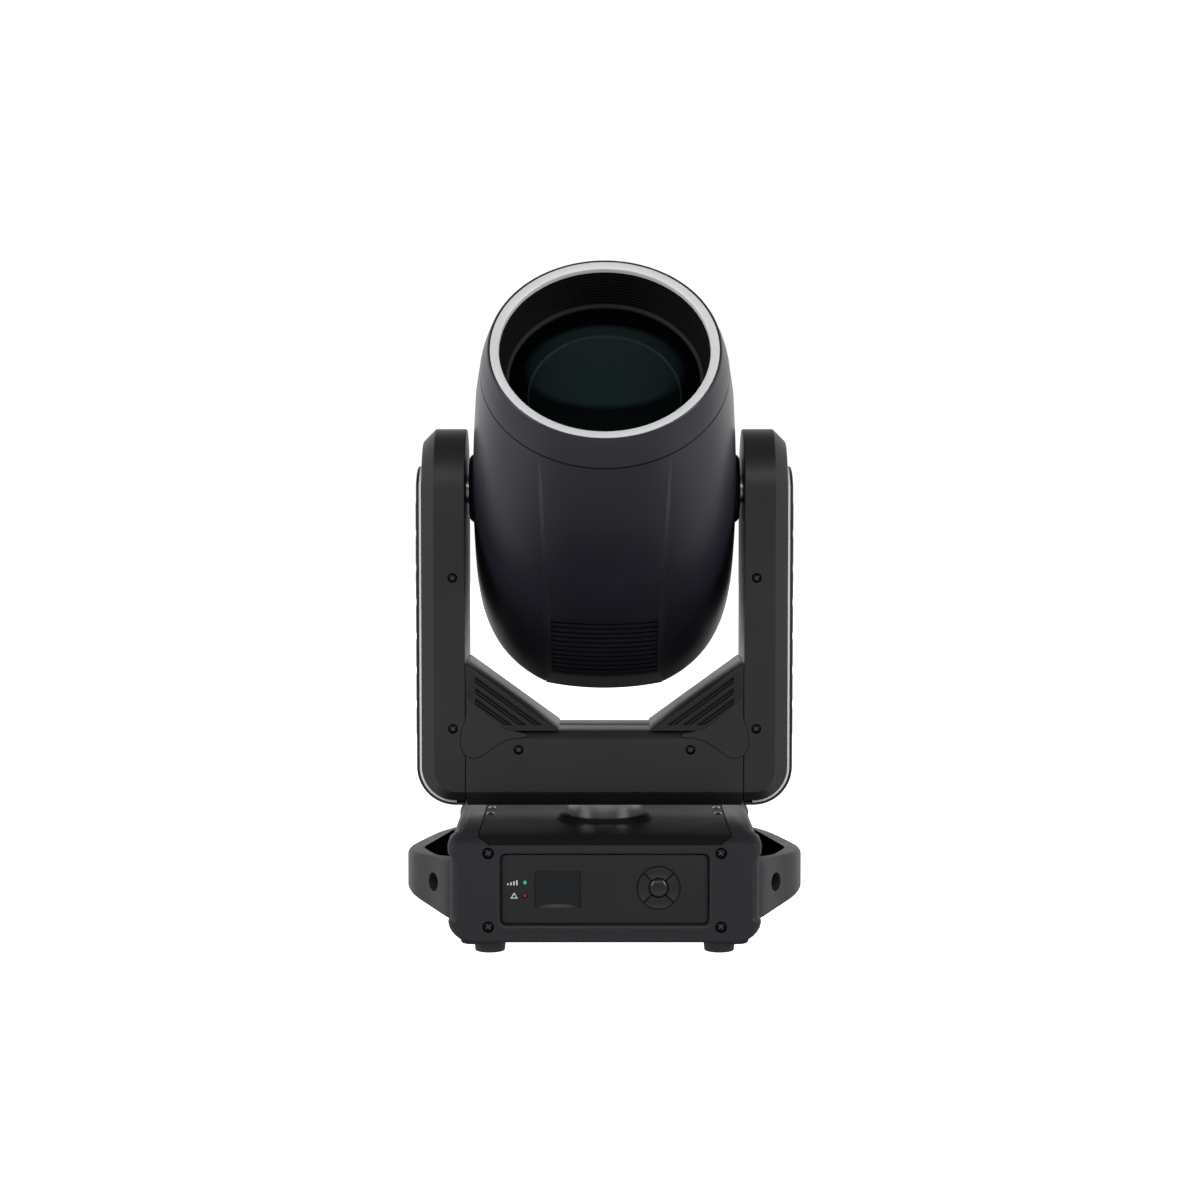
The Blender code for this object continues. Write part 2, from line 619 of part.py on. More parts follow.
def head_front(looks, pivot):
    nose = [(SEAM_R - 4, SEAM_Z), (SEAM_R, SEAM_Z), (104.5, 184), (NOSE_R, NOSE_Z - 1),
            (NOSE_R - 0.6, NOSE_Z), (RING_R + GAP, NOSE_Z), (RING_R + GAP, NOSE_Z - 8)]
    put("nose_cover", turned(nose, 48), looks["black_plastic"], pivot)
    bright = [(RING_BORE, NOSE_Z - 5.5), (RING_R, NOSE_Z - 5.5), (RING_R, NOSE_Z - 0.5),
              (RING_R - 0.8, NOSE_Z), (RING_BORE + 0.6, NOSE_Z)]
    put("front_ring", turned(bright, 48), looks["bright"], pivot)
    hood_top = NOSE_Z - 5.5 - GAP
    hood = [(LENS_R + GAP, LENS_Z), (LENS_R + 5, LENS_Z), (RING_R - 3, hood_top),
            (RING_BORE, hood_top), (LENS_R + GAP, LENS_Z + 14)]
    put("lens_hood", turned(hood, 48), looks["black_metal"], pivot)
    lens = [(0, LENS_Z + 1), (LENS_R, LENS_Z + 1), (LENS_R, LENS_Z + 5), (LENS_R * 0.7, LENS_Z + 12),
            (LENS_R * 0.35, LENS_Z + 16), (0, LENS_Z + 17)]
    put("front_lens", turned(lens, 40), looks["glass"], pivot)


def head_inside(looks, pivot):
    """Chassis with its bulkhead and rails, lamp, wheels, focus lens and fan."""
    side_x, rail_x = 102.0, 58.0
    chassis = put("head_chassis", block((-side_x, -50, -60), (side_x, 50, -56)),
                  looks["alloy"], pivot)
    for x in (-side_x, side_x - 4):
        cut(chassis, block((x, -48, -58), (x + 4, 48, 62)), "UNION")
    for x in (-rail_x, rail_x):
        cut(chassis, shift(cylinder(3, -58, 110, 12), x), "UNION")
    cut(chassis, cylinder(30, -62, -54, 24))

    lamp = [(0, -152), (30, -152), (30, -140), (62, -105), (62, -66), (56, -66), (56, -103),
            (24, -136), (8, -136), (8, -112), (0, -110)]
    put("lamp_module", turned(lamp, 28), looks["alloy"], pivot)
    wheel("colour_wheel", 38, -46, 8, looks["glass_wheel"], pivot)
    wheel("gobo_wheel", -38, -36, 7, looks["steel"], pivot)

    carriage = put("focus_lens", block((-70, -11, 6), (70, 11, 12)), looks["glass_wheel"], pivot)
    barrel = [(0, 7), (38, 4), (38, 16), (0, 20)]
    cut(carriage, turned(barrel, 28), "UNION")
    for x in (-rail_x, rail_x):
        cut(carriage, shift(cylinder(3 + GAP, 2, 22, 12), x))
    fan(looks, pivot)


def wheel(name, centre_y, z, windows, look, pivot):
    """A disc of round windows on a short spindle, beside the light's path."""
    disc_profile = [(0, z - 8), (4, z - 8), (4, z - 0.8), (54, z - 0.8), (54, z + 0.8), (0, z + 0.8)]
    disc = put(name, shift(turned(disc_profile, 28), y=centre_y), look, pivot,
               origin=(0, centre_y, 0))
    angles = [2 * math.pi * i / windows - math.copysign(math.pi / 2, centre_y)
              for i in range(windows)]
    cut(disc, together([shift(cylinder(10.5, z - 3, z + 3, 12),
                              38 * math.cos(a), centre_y + 38 * math.sin(a)) for a in angles]))


def fan(looks, pivot):
    hub_z = -164.0
    rotor = put("cooling_fan", shift(cylinder(15, -5, 5, 20), z=hub_z), looks["fan"], pivot)
    blades = 7
    for i in range(blades):
        blade = block((12, -8, -0.8), (42, 8, 0.8))
        blade.transform(Matrix.Rotation(math.radians(28), 4, "X"))
        turn(blade, 360 * i / blades, "Z")
        cut(rotor, shift(blade, z=hub_z), "UNION")


def tilt_axle(side, looks, pivot):
    """Stub axle: inner flange, boss outside the cover, and a pulley on the left."""
    left = side < 0
    profile = [(0, 102.3), (24, 102.3), (24, 106), (AXLE_R, 106), (AXLE_R, BODY_X + 0.6),
               (19, BODY_X + 0.6), (19, BODY_X + 3), (AXLE_R, BODY_X + 3)]
    if left:
        profile += [(AXLE_R, TILT_BELT_IN - 0.5), (TILT_PULLEY_R, TILT_BELT_IN - 0.5),
                    (TILT_PULLEY_R, TILT_BELT_OUT + 0.5), (AXLE_R, TILT_BELT_OUT + 0.5)]
    profile += [(AXLE_R, 156), (0, 156)]
    made = along_x(turned(profile, 32))
    name = "tilt_axle_left" if left else "tilt_axle_right"
    put(name, mirror_x(made) if left else made, looks["polished"], pivot)


# --------------------------------------------------------------------- main

def make_looks():
    return {
        "black_metal": material("black_metal", (0.034, 0.034, 0.038), 0.42, 0.3),
        "black_plastic": material("black_plastic", (0.036, 0.036, 0.041), 0.45),
        "panel": material("panel", (0.022, 0.022, 0.024), 0.5),
        "key": material("key", (0.045, 0.045, 0.048), 0.4),
        "grey_metal": material("grey_metal", (0.09, 0.09, 0.1), 0.45, 0.3),
        "rubber": material("rubber", (0.02, 0.02, 0.02), 0.8),
        "steel": material("steel", (0.35, 0.36, 0.37), 0.45, 0.9),
        "alloy": material("alloy", (0.6, 0.61, 0.62), 0.4, 0.9),
        "polished": material("polished", (0.75, 0.75, 0.76), 0.18, 1.0),
        "bright": material("bright", (0.78, 0.79, 0.8), 0.35, 0.6),
        "glass": material("glass", (0.02, 0.03, 0.035), 0.05, 0.0, 0.6),
        "glass_wheel": material("glass_wheel", (0.3, 0.4, 0.5), 0.1),
        "clear": material("clear", (0.5, 0.6, 0.58), 0.2),
        "connector": material("connector", (0.02, 0.02, 0.022), 0.5),
        "motor": material("motor", (0.05, 0.05, 0.055), 0.4, 0.5),
        "fan": material("fan", (0.03, 0.03, 0.03), 0.55),
    }


def main():
    for old in list(bpy.data.objects):
        bpy.data.objects.remove(old, do_unlink=True)
    looks = make_looks()
    base_shell(looks)
    lid("top_cover_front", -1, looks)
    lid("top_cover_rear", 1, looks)
    feet(looks)
    front_panel(looks)
    keypad(looks)
    rear_panel(looks)
    base_inside(looks)
    beam_cover("beam_cover_front", -1, looks)
    beam_cover("beam_cover_rear", 1, looks)
    yoke_inside(looks)
    pivot = empty("tilt_pivot", (0, 0, TILT_Z))
    pivot.rotation_euler = (math.radians(90 - REST_ELEVATION), 0, 0)
    for side in (-1, 1):
        handle(side, looks)
        arm_cover(side, looks)
        arm_sides(side, looks)
        gusset(side, looks)
        tilt_axle(side, looks, pivot)
    head_cover("head_cover_upper", 1, looks, pivot)
    head_cover("head_cover_lower", -1, looks, pivot)
    head_front(looks, pivot)
    head_inside(looks, pivot)


main()
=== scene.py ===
"""Looks of the moving head light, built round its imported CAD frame.

Outlines are in millimetres and turn into metres when a mesh is made. Pieces of the
head are modelled in the head's own frame, with +Z along the lens axis, +Y on its
upper side and the origin on the tilt axis. Everything else is in the object's frame.
"""
import json
import math

import bmesh
import bpy
from mathutils import Matrix, Vector


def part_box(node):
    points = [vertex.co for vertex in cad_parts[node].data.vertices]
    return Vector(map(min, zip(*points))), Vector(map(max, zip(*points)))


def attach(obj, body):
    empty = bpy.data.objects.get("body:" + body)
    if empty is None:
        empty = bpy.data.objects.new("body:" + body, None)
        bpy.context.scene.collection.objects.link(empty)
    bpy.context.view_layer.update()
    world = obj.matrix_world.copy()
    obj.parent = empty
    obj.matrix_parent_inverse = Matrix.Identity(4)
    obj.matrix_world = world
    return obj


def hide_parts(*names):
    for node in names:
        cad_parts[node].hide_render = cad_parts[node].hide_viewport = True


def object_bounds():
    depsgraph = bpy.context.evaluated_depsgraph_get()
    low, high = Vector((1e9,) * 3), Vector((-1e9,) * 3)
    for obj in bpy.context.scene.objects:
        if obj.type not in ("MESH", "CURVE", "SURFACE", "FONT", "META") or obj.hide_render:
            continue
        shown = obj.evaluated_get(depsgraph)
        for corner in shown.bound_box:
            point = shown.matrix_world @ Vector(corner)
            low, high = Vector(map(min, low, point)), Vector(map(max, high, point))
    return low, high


MM = 0.001
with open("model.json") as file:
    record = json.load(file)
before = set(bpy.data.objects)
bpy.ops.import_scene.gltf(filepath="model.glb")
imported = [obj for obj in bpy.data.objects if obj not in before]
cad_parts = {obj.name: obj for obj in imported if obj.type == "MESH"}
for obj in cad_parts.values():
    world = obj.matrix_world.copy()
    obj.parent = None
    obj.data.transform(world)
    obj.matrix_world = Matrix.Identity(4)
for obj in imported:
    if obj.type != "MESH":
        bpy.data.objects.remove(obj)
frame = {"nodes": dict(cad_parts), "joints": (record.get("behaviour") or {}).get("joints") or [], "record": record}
cad_low, cad_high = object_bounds()
joints = {joint["name"]: joint for joint in frame["joints"]}

# The head's frame, from the tilt joint's place and the focus rail's direction
TILT_Z = joints["tilt"]["pos_m"][2] / MM
LENS_AXIS = Vector(joints["focus"]["axis"])
HEAD = (Matrix.Translation((0, 0, TILT_Z * MM))
        @ Matrix.Rotation(math.atan2(-LENS_AXIS.y, LENS_AXIS.z), 4, "X"))


def span(node, home=None):
    """Lowest and highest corners of a CAD node in millimetres, in the head's frame if asked."""
    if home is None:
        low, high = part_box(node)
        return low / MM, high / MM
    back = home.inverted()
    points = [back @ vertex.co / MM for vertex in frame["nodes"][node].data.vertices]
    return (Vector([min(p[i] for p in points) for i in range(3)]),
            Vector([max(p[i] for p in points) for i in range(3)]))


def centre_of(node):
    """The middle of a CAD node's box, in millimetres."""
    low, high = span(node)
    return (low + high) / 2


def hand(side):
    """The word for a piece on the -X or the +X side."""
    return "left" if side < 0 else "right"


# ------------------------------------------------------------ mesh builders

def bridge(made, first, second):
    """Four-sided faces between two closed loops of the same length."""
    count = len(first)
    for i in range(count):
        j = (i + 1) % count
        made.faces.new((first[i], first[j], second[j], second[i]))


def loft(outlines, loop=False):
    """Closed outlines joined one after another, with flat ends or back to the first."""
    made = bmesh.new()
    rings = [[made.verts.new(point) for point in outline] for outline in outlines]
    for first, second in zip(rings, rings[1:]):
        bridge(made, first, second)
    if loop:
        bridge(made, rings[-1], rings[0])
    else:
        made.faces.new(rings[0])
        made.faces.new(rings[-1])
    return made


def prism(outline, low, high, axis="z"):
    """A flat outline pushed along one axis from low to high."""
    place = {"x": lambda a, b, c: (c, a, b),
             "y": lambda a, b, c: (a, c, b),
             "z": lambda a, b, c: (a, b, c)}[axis]
    return loft([[place(a, b, c) for a, b in outline] for c in (low, high)])


def turned(profile, segments=64):
    """A closed (radius, height) profile turned round Z."""
    made = bmesh.new()
    rings = []
    for radius, height in profile:
        if radius == 0:
            rings.append([made.verts.new((0, 0, height))])
            continue
        angles = [2 * math.pi * i / segments for i in range(segments)]
        rings.append([made.verts.new((radius * math.cos(a), radius * math.sin(a), height))
                      for a in angles])
    for first, second in zip(rings, rings[1:] + rings[:1]):
        if len(first) == 1 and len(second) == 1:
            continue
        if len(first) == 1 or len(second) == 1:
            centre, rim = (first[0], second) if len(first) == 1 else (second[0], first)
            for i in range(segments):
                made.faces.new((centre, rim[i], rim[(i + 1) % segments]))
            continue
        bridge(made, first, second)
    return made


def cylinder(radius, low, high, segments=48):
    """A closed cylinder along Z."""
    return turned([(0, low), (radius, low), (radius, high), (0, high)], segments)


def turn(made, degrees, axis):
    """Turn a shape about an axis through the origin."""
    made.transform(Matrix.Rotation(math.radians(degrees), 4, axis))
    return made


def facing(made, direction):
    """Turn a shape made along +Z so that its +Z points along the given axis."""
    made.transform(Vector(direction).to_track_quat("Z", "Y").to_matrix().to_4x4())
    return made


def shift(made, x=0.0, y=0.0, z=0.0):
    """Move a shape."""
    made.transform(Matrix.Translation((x, y, z)))
    return made


def flip(made, axis):
    """Mirror a shape across the plane through the origin, square to one axis."""
    scale = [-1 if axis == name else 1 for name in "xyz"]
    made.transform(Matrix.Diagonal((*scale, 1)))
    bmesh.ops.reverse_faces(made, faces=made.faces)
    return made


def sided(made, side):
    """A shape made for the +X side, mirrored if it belongs on the other."""
    return flip(made, "x") if side < 0 else made


def on_face(made, x, y, z, way=1):
    """Turn a shape made along +Z to face +Y, or -Y, and put it in place."""
    return shift(facing(made, (0, way, 0)), x, y, z)


def four_fold(quarter):
    """A closed outline from its first quarter, mirrored in both axes."""
    half = quarter + [(-x, y) for x, y in quarter[::-1]]
    return half + [(-x, -y) for x, y in half]


def together(shapes):
    """Several shapes in one mesh."""
    made = shapes[0]
    for shape in shapes[1:]:
        copy = bpy.data.meshes.new("copy")
        shape.to_mesh(copy)
        shape.free()
        made.from_mesh(copy)
        bpy.data.meshes.remove(copy)
    return made


def rounded(points, radius, steps=5):
    """A closed outline with each corner replaced by a short arc-like curve."""
    made = []
    count = len(points)
    for i, corner in enumerate(points):
        here = Vector(corner)
        before = Vector(points[i - 1]) - here
        after = Vector(points[(i + 1) % count]) - here
        reach = min(radius, before.length * 0.45, after.length * 0.45)
        start, end = here + before.normalized() * reach, here + after.normalized() * reach
        for k in range(steps + 1):
            t = k / steps
            made.append(tuple(start * (1 - t) ** 2 + here * 2 * t * (1 - t) + end * t ** 2))
    return made


def rectangle(half_a, low_b, high_b, radius=0.0, centre=0.0):
    """A rectangle's outline, wide 2 * half_a about the centre, with round corners if asked."""
    corners = [(centre - half_a, low_b), (centre + half_a, low_b),
               (centre + half_a, high_b), (centre - half_a, high_b)]
    return rounded(corners, radius) if radius else corners


def curve_through(points, steps):
    """Points on a smooth open curve through the given ones."""
    last = len(points) - 1
    made = []
    for i in range(last):
        near = [Vector(points[min(max(i + k, 0), last)]) for k in (-1, 0, 1, 2)]
        for step in range(steps):
            t = step / steps
            p = (near[1] * 2 + (near[2] - near[0]) * t
                 + (near[0] * 2 - near[1] * 5 + near[2] * 4 - near[3]) * t * t
                 + (near[1] * 3 - near[0] - near[2] * 3 + near[3]) * t ** 3) / 2
            made.append(tuple(p))
    return made + [tuple(points[-1])]


def in_steps(count):
    """The shares 0 to 1 in equal steps, both ends included."""
    return [i / count for i in range(count + 1)]


def evenly(points, count):
    """The same curve with its points evenly spaced."""
    lengths = [0.0]
    for first, second in zip(points, points[1:]):
        lengths.append(lengths[-1] + math.dist(first, second))
    made, at = [], 0
    for i in range(count):
        want = lengths[-1] * i / (count - 1)
        while at < len(points) - 2 and lengths[at + 1] < want:
            at += 1
        share = (want - lengths[at]) / max(lengths[at + 1] - lengths[at], 1e-9)
        made.append(tuple(Vector(points[at]).lerp(Vector(points[at + 1]), share)))
    return made


def between(value, *stations):
    """Straight-line interpolation through (place, value) stations, level beyond both ends."""
    ordered = sorted(stations)
    if value <= ordered[0][0]:
        return ordered[0][1]
    for (a, low), (b, high) in zip(ordered, ordered[1:]):
        if value <= b:
            return low + (high - low) * (value - a) / (b - a)
    return ordered[-1][1]


def thick_grid(outer, inner, is_open=lambda row, column: False):
    """A solid sheet between two grids of points, with walls round its edges and openings."""
    made = bmesh.new()
    out = [[made.verts.new(p) for p in row] for row in outer]
    back = [[made.verts.new(p) for p in row] for row in inner]
    rows, columns = len(outer) - 1, len(outer[0]) - 1

    def solid(i, j):
        return 0 <= i < rows and 0 <= j < columns and not is_open(i, j)
    for i in range(rows):
        for j in range(columns):
            if not solid(i, j):
                continue
            corners = ((i, j), (i, j + 1), (i + 1, j + 1), (i + 1, j))
            made.faces.new([out[a][b] for a, b in corners])
            made.faces.new([back[a][b] for a, b in corners[::-1]])
            beside = ((i - 1, j), (i, j + 1), (i + 1, j), (i, j - 1))
            for k, neighbour in enumerate(beside):
                if not solid(*neighbour):
                    (a, b), (c, d) = corners[k], corners[(k + 1) % 4]
                    made.faces.new((out[a][b], back[a][b], back[c][d], out[c][d]))
    loose = [v for v in made.verts if not v.link_faces]
    bmesh.ops.delete(made, geom=loose, context="VERTS")
    return made


# ------------------------------------------------------------- object makers

def add(name, made, look, body, slot, home=None, stands_for=(), sharp=32):
    """Turn a millimetre bmesh into a finished piece that rides on a CAD body."""
    bmesh.ops.remove_doubles(made, verts=made.verts, dist=0.001)
    bmesh.ops.recalc_face_normals(made, faces=made.faces)
    made.transform(Matrix.Scale(MM, 4))
    mesh = bpy.data.meshes.new(name)
    made.to_mesh(mesh)
    made.free()
    mesh.materials.append(look)
    mesh.shade_smooth()
    mesh.set_sharp_from_angle(angle=math.radians(sharp))
    piece = bpy.data.objects.new(name, mesh)
    bpy.context.scene.collection.objects.link(piece)
    if home is not None:
        piece.matrix_world = home
    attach(piece, body)
    if stands_for:
        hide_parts(*stands_for)
    return piece


def soften(piece, width, segments=2, angle=35):
    """Round the sharp edges of a piece, and keep the result in its mesh."""
    bevel = piece.modifiers.new("bevel", "BEVEL")
    bevel.width = width * MM
    bevel.segments = segments
    bevel.limit_method = "ANGLE"
    bevel.angle_limit = math.radians(angle)
    bevel.use_clamp_overlap = True
    bevel.harden_normals = False
    return settle(piece, 25)


def settle(piece, sharp):
    """Apply the modifiers, so that the mesh holds the finished shape."""
    graph = bpy.context.evaluated_depsgraph_get()
    old = piece.data
    piece.data = bpy.data.meshes.new_from_object(piece.evaluated_get(graph))
    piece.modifiers.clear()
    bpy.data.meshes.remove(old)
    piece.data.shade_smooth()
    piece.data.set_sharp_from_angle(angle=math.radians(sharp))
    return piece


def carve(piece, made, sharp=32):
    """Cut a millimetre shape out of a piece."""
    made.transform(Matrix.Scale(MM, 4))
    bmesh.ops.recalc_face_normals(made, faces=made.faces)
    mesh = bpy.data.meshes.new("tool")
    made.to_mesh(mesh)
    made.free()
    tool = bpy.data.objects.new("tool", mesh)
    bpy.context.scene.collection.objects.link(tool)
    tool.matrix_world = piece.matrix_world
    boolean = piece.modifiers.new("boolean", "BOOLEAN")
    boolean.operation = "DIFFERENCE"
    boolean.solver = "EXACT"
    boolean.object = tool
    settle(piece, sharp)
    bpy.data.objects.remove(tool)
    bpy.data.meshes.remove(mesh)
    return piece


# ---------------------------------------------------------------- materials

PATCH_LOW, PATCH_HIGH = 0.3, 0.7   # the part of a noise texture that carries its contrast


def tree(name):
    """A node material with its object coordinates and its shader."""
    made = bpy.data.materials.new(name)
    made.use_nodes = True
    nodes, links = made.node_tree.nodes, made.node_tree.links
    place = nodes.new("ShaderNodeTexCoord").outputs["Object"]
    return made, nodes, links, place, nodes["Principled BSDF"]


def noise(nodes, links, place, scale, detail=2.0, stretch=None):
    """A noise value at each point, drawn out along an axis if stretch is given."""
    if stretch is not None:
        mapping = nodes.new("ShaderNodeMapping")
        mapping.inputs["Scale"].default_value = stretch
        links.new(place, mapping.inputs["Vector"])
        place = mapping.outputs["Vector"]
    made = nodes.new("ShaderNodeTexNoise")
    made.inputs["Scale"].default_value = scale
    made.inputs["Detail"].default_value = detail
    links.new(place, made.inputs["Vector"])
    return made.outputs["Fac"]


def spread_colour(nodes, links, factor, dark, light, low=PATCH_LOW, high=PATCH_HIGH):
    """A colour between two, after a value between low and high."""
    ramp = nodes.new("ShaderNodeValToRGB")
    ramp.color_ramp.elements[0].position = low
    ramp.color_ramp.elements[0].color = (*dark, 1)
    ramp.color_ramp.elements[1].position = high
    ramp.color_ramp.elements[1].color = (*light, 1)
    links.new(factor, ramp.inputs["Fac"])
    return ramp.outputs["Color"]


def spread_value(nodes, links, factor, low, high):
    """A number between two, after a noise value."""
    made = nodes.new("ShaderNodeMapRange")
    made.inputs["From Min"].default_value = PATCH_LOW
    made.inputs["From Max"].default_value = PATCH_HIGH
    made.inputs["To Min"].default_value = low
    made.inputs["To Max"].default_value = high
    links.new(factor, made.inputs["Value"])
    return made.outputs["Result"]


def bump(nodes, links, height, strength, depth):
    """A surface direction disturbed by a height."""
    made = nodes.new("ShaderNodeBump")
    made.inputs["Strength"].default_value = strength
    made.inputs["Distance"].default_value = depth
    links.new(height, made.inputs["Height"])
    return made.outputs["Normal"]


def surface(name, colour, roughness, metallic=0.0, uneven=0.12, grain=1800.0,
            grain_depth=0.00004, strength=0.35, coat=0.0, specular=0.5, stretch=None):
    """A moulded, painted or metal surface: patchy tone, fine grain and uneven gloss."""
    made, nodes, links, place, shader = tree(name)
    patches = noise(nodes, links, place, 14.0, 3.0)
    fine = noise(nodes, links, place, grain, 2.0, stretch)
    dark = [c * (1 - uneven) for c in colour]
    light = [c * (1 + uneven) for c in colour]
    links.new(spread_colour(nodes, links, patches, dark, light), shader.inputs["Base Color"])
    gloss = spread_value(nodes, links, patches, roughness * 0.92, roughness * 1.08)
    links.new(gloss, shader.inputs["Roughness"])
    links.new(bump(nodes, links, fine, strength, grain_depth), shader.inputs["Normal"])
    shader.inputs["Metallic"].default_value = metallic
    shader.inputs["Coat Weight"].default_value = coat
    shader.inputs["Coat Roughness"].default_value = 0.15
    shader.inputs["Specular IOR Level"].default_value = specular
    return made


def painted_shade_glass(name):
    """Dark coated glass with painted shading: deep teal in the middle of the lens, painted in for the optics seen
    through it, and almost black round its edge as painted shade from the hood.
    """
    made, nodes, links, place, shader = tree(name)
    gradient = nodes.new("ShaderNodeTexGradient")
    gradient.gradient_type = "SPHERICAL"
    mapping = nodes.new("ShaderNodeMapping")
    mapping.inputs["Location"].default_value = (0.0, -0.14, 0.0)
    mapping.inputs["Scale"].default_value = (13.5, 19.5, 0.0)
    links.new(place, mapping.inputs["Vector"])
    links.new(mapping.outputs["Vector"], gradient.inputs["Vector"])
    # Painted shading in the base colour: a teal glow in the middle that fades to painted hood shade round the rim
    colour = spread_colour(nodes, links, gradient.outputs["Fac"], (0.0010, 0.0013, 0.0014),
                           (0.0085, 0.0150, 0.0165), 0.03, 0.14)
    links.new(colour, shader.inputs["Base Color"])
    smears = noise(nodes, links, place, 30.0, 4.0)
    links.new(spread_value(nodes, links, smears, 0.03, 0.06), shader.inputs["Roughness"])
    shader.inputs["IOR"].default_value = 1.52
    shader.inputs["Specular IOR Level"].default_value = 0.16
    shader.inputs["Specular Tint"].default_value = (0.55, 0.95, 1.0, 1)
    return made


def glowing(name, colour, strength):
    """A small moulded lens over a light, with a soft mottled glow."""
    made, nodes, links, place, shader = tree(name)
    mottle = noise(nodes, links, place, 900.0)
    tone = spread_colour(nodes, links, mottle, [c * 0.8 for c in colour], colour)
    links.new(tone, shader.inputs["Base Color"])
    links.new(tone, shader.inputs["Emission Color"])
    shader.inputs["Emission Strength"].default_value = strength
    shader.inputs["Roughness"].default_value = 0.2
    return made


def make_looks():
    """The material of each slot in the record."""
    return {
        "steel_plate": surface("zinc_steel", (0.42, 0.43, 0.44), 0.42, 0.9, 0.1, 220.0,
                               0.00002, 0.3, stretch=(1.0, 12.0, 1.0)),
        "base_casting": surface("textured_paint", (0.0145, 0.0138, 0.0195), 0.5, 0.0, 0.08, 2400.0,
                                0.00005, 0.45),
        "base_cover": surface("satin_paint", (0.010, 0.010, 0.0105), 0.55, 0.0, 0.08, 2600.0,
                              0.00003, 0.35, specular=0.08),
        "panel": surface("matt_overlay", (0.010, 0.010, 0.012), 0.5, 0.0, 0.06, 3200.0,
                         0.00002, 0.25),
        "display_glass": surface("tinted_window", (0.006, 0.009, 0.011), 0.12, 0.0, 0.25,
                                 300.0, 0.000002, 0.1, 0.3),
        "light_pipe": surface("clear_moulding", (0.30, 0.34, 0.33), 0.25),
        "connector": surface("connector_body", (0.018, 0.018, 0.020), 0.45),
        "polished_metal": surface("polished_metal", (0.62, 0.62, 0.63), 0.2, 1.0, 0.05, 900.0,
                                  0.00001, 0.2, stretch=(1.0, 1.0, 30.0)),
        "alloy": surface("machined_alloy", (0.55, 0.56, 0.57), 0.38, 0.95, 0.08, 600.0,
                         0.00002, 0.3),
        "motor_black": surface("lacquered_steel", (0.028, 0.028, 0.031), 0.38, 0.3),
        "belt_rubber": surface("belt_rubber", (0.014, 0.014, 0.015), 0.75),
        "silver_ring": surface("satin_silver", (0.88, 0.89, 0.90), 0.45, 0.15, 0.03, 1500.0,
                               0.00002, 0.25),
        "silver_trim": surface("bright_trim", (0.95, 0.95, 0.95), 0.5, 0.0, 0.03, 1500.0,
                               0.00002, 0.25),
        "hood_black": surface("hood_black", (0.004, 0.004, 0.0045), 0.5, 0.0, 0.15, 2000.0,
                              0.00003, 0.4, specular=0.2),
        "lens_glass": painted_shade_glass("lens_glass"),
        "wheel_glass": surface("filter_wheel", (0.30, 0.38, 0.44), 0.25, 0.8),
        "fan_plastic": surface("fan_plastic", (0.022, 0.022, 0.023), 0.5),
        "handle_casting": surface("grey_casting", (0.031, 0.030, 0.036), 0.46, 0.0, 0.1, 1500.0,
                                  0.00006, 0.45),
        "foot_rubber": surface("foot_rubber", (0.022, 0.022, 0.027), 0.6, 0.0, 0.12, 1200.0,
                               0.00006, 0.5),
        "key_plastic": surface("key_plastic", (0.020, 0.020, 0.023), 0.2, 0.0, 0.08, 2600.0,
                               0.00002, 0.25),
        "arm_metal": surface("arm_paint", (0.034, 0.034, 0.038), 0.4),
        "yoke_cover": surface("yoke_plastic", (0.0205, 0.0205, 0.0235), 0.42, 0.0, 0.07, 2400.0,
                              0.00004, 0.4),
        "head_cover": surface("head_plastic", (0.021, 0.022, 0.033), 0.34, 0.0, 0.07, 2400.0,
                              0.00004, 0.35),
    }


looks = make_looks()
screw_black = surface("black_screw", (0.0030, 0.0030, 0.0034), 0.4, 0.0, 0.1, 1500.0,
                      specular=0.12)
grille_black = surface("grille_black", (0.012, 0.012, 0.012), 0.4, 0.0, 0.08, 2400.0)
screw_silver = surface("silver_screw", (0.65, 0.66, 0.68), 0.28, 0.9, 0.05, 1500.0)
# Lighter metal at the bottom of cross recesses: a painted glint in place of light caught on the recess walls
recess_glint = surface("screw_recess_glint", (0.16, 0.16, 0.17), 0.3, 0.7, 0.05, 1500.0)
mark_white = surface("white_print", (0.75, 0.76, 0.77), 0.6, 0.0, 0.04)
glow_teal = glowing("teal_light", (0.06, 0.30, 0.27), 0.6)
glow_red = glowing("red_light", (0.15, 0.012, 0.018), 0.4)


# --------------------------------------------------------------- small parts

def plus_sign(arm, width):
    """The outline of a cross recess, its arms 2 * width wide."""
    quarter = [(arm, -width), (arm, width), (width, width)]
    outline = []
    for _ in range(4):
        outline += quarter
        quarter = [(-b, a) for a, b in quarter]
    return outline


SHANK, BED_GAP = 1.5, 0.15
DOME = ((0, 0.42), (0.45, 0.38), (0.8, 0.24), (1.0, 0.0))    # shares of a screw head's radius
CROSS_ARM, CROSS_WIDTH, CROSS_TURN = 0.6, 0.17, 35


def screw(name, place, direction, radius, body, slot, look, depth=0.0):
    """A cross-recess pan-head screw, its rim set 'depth' below the given place, with a lighter cross of painted
    glint at the bottom of its recess.
    """
    dome = [(radius * out, radius * up) for out, up in DOME]
    head = turned(dome + [(radius, -SHANK), (0, -SHANK)], 24)
    arm, width = radius * CROSS_ARM, radius * CROSS_WIDTH
    cross = turn(prism(plus_sign(arm, width), 0.0, radius), CROSS_TURN, "Z")
    # A lighter cross just below the recess: a painted glint in place of light off the recess walls
    glint_floor = turn(prism(plus_sign(arm - BED_GAP, width - BED_GAP), -0.6, 0.1), CROSS_TURN, "Z")
    place = Vector(place) - Vector(direction) * depth
    for shape in (head, cross, glint_floor):
        facing(shape, direction)
        shift(shape, *place)
    carve(add(name, head, look, body, slot), cross)
    add(f"{name}_recess", glint_floor, recess_glint, body, slot)


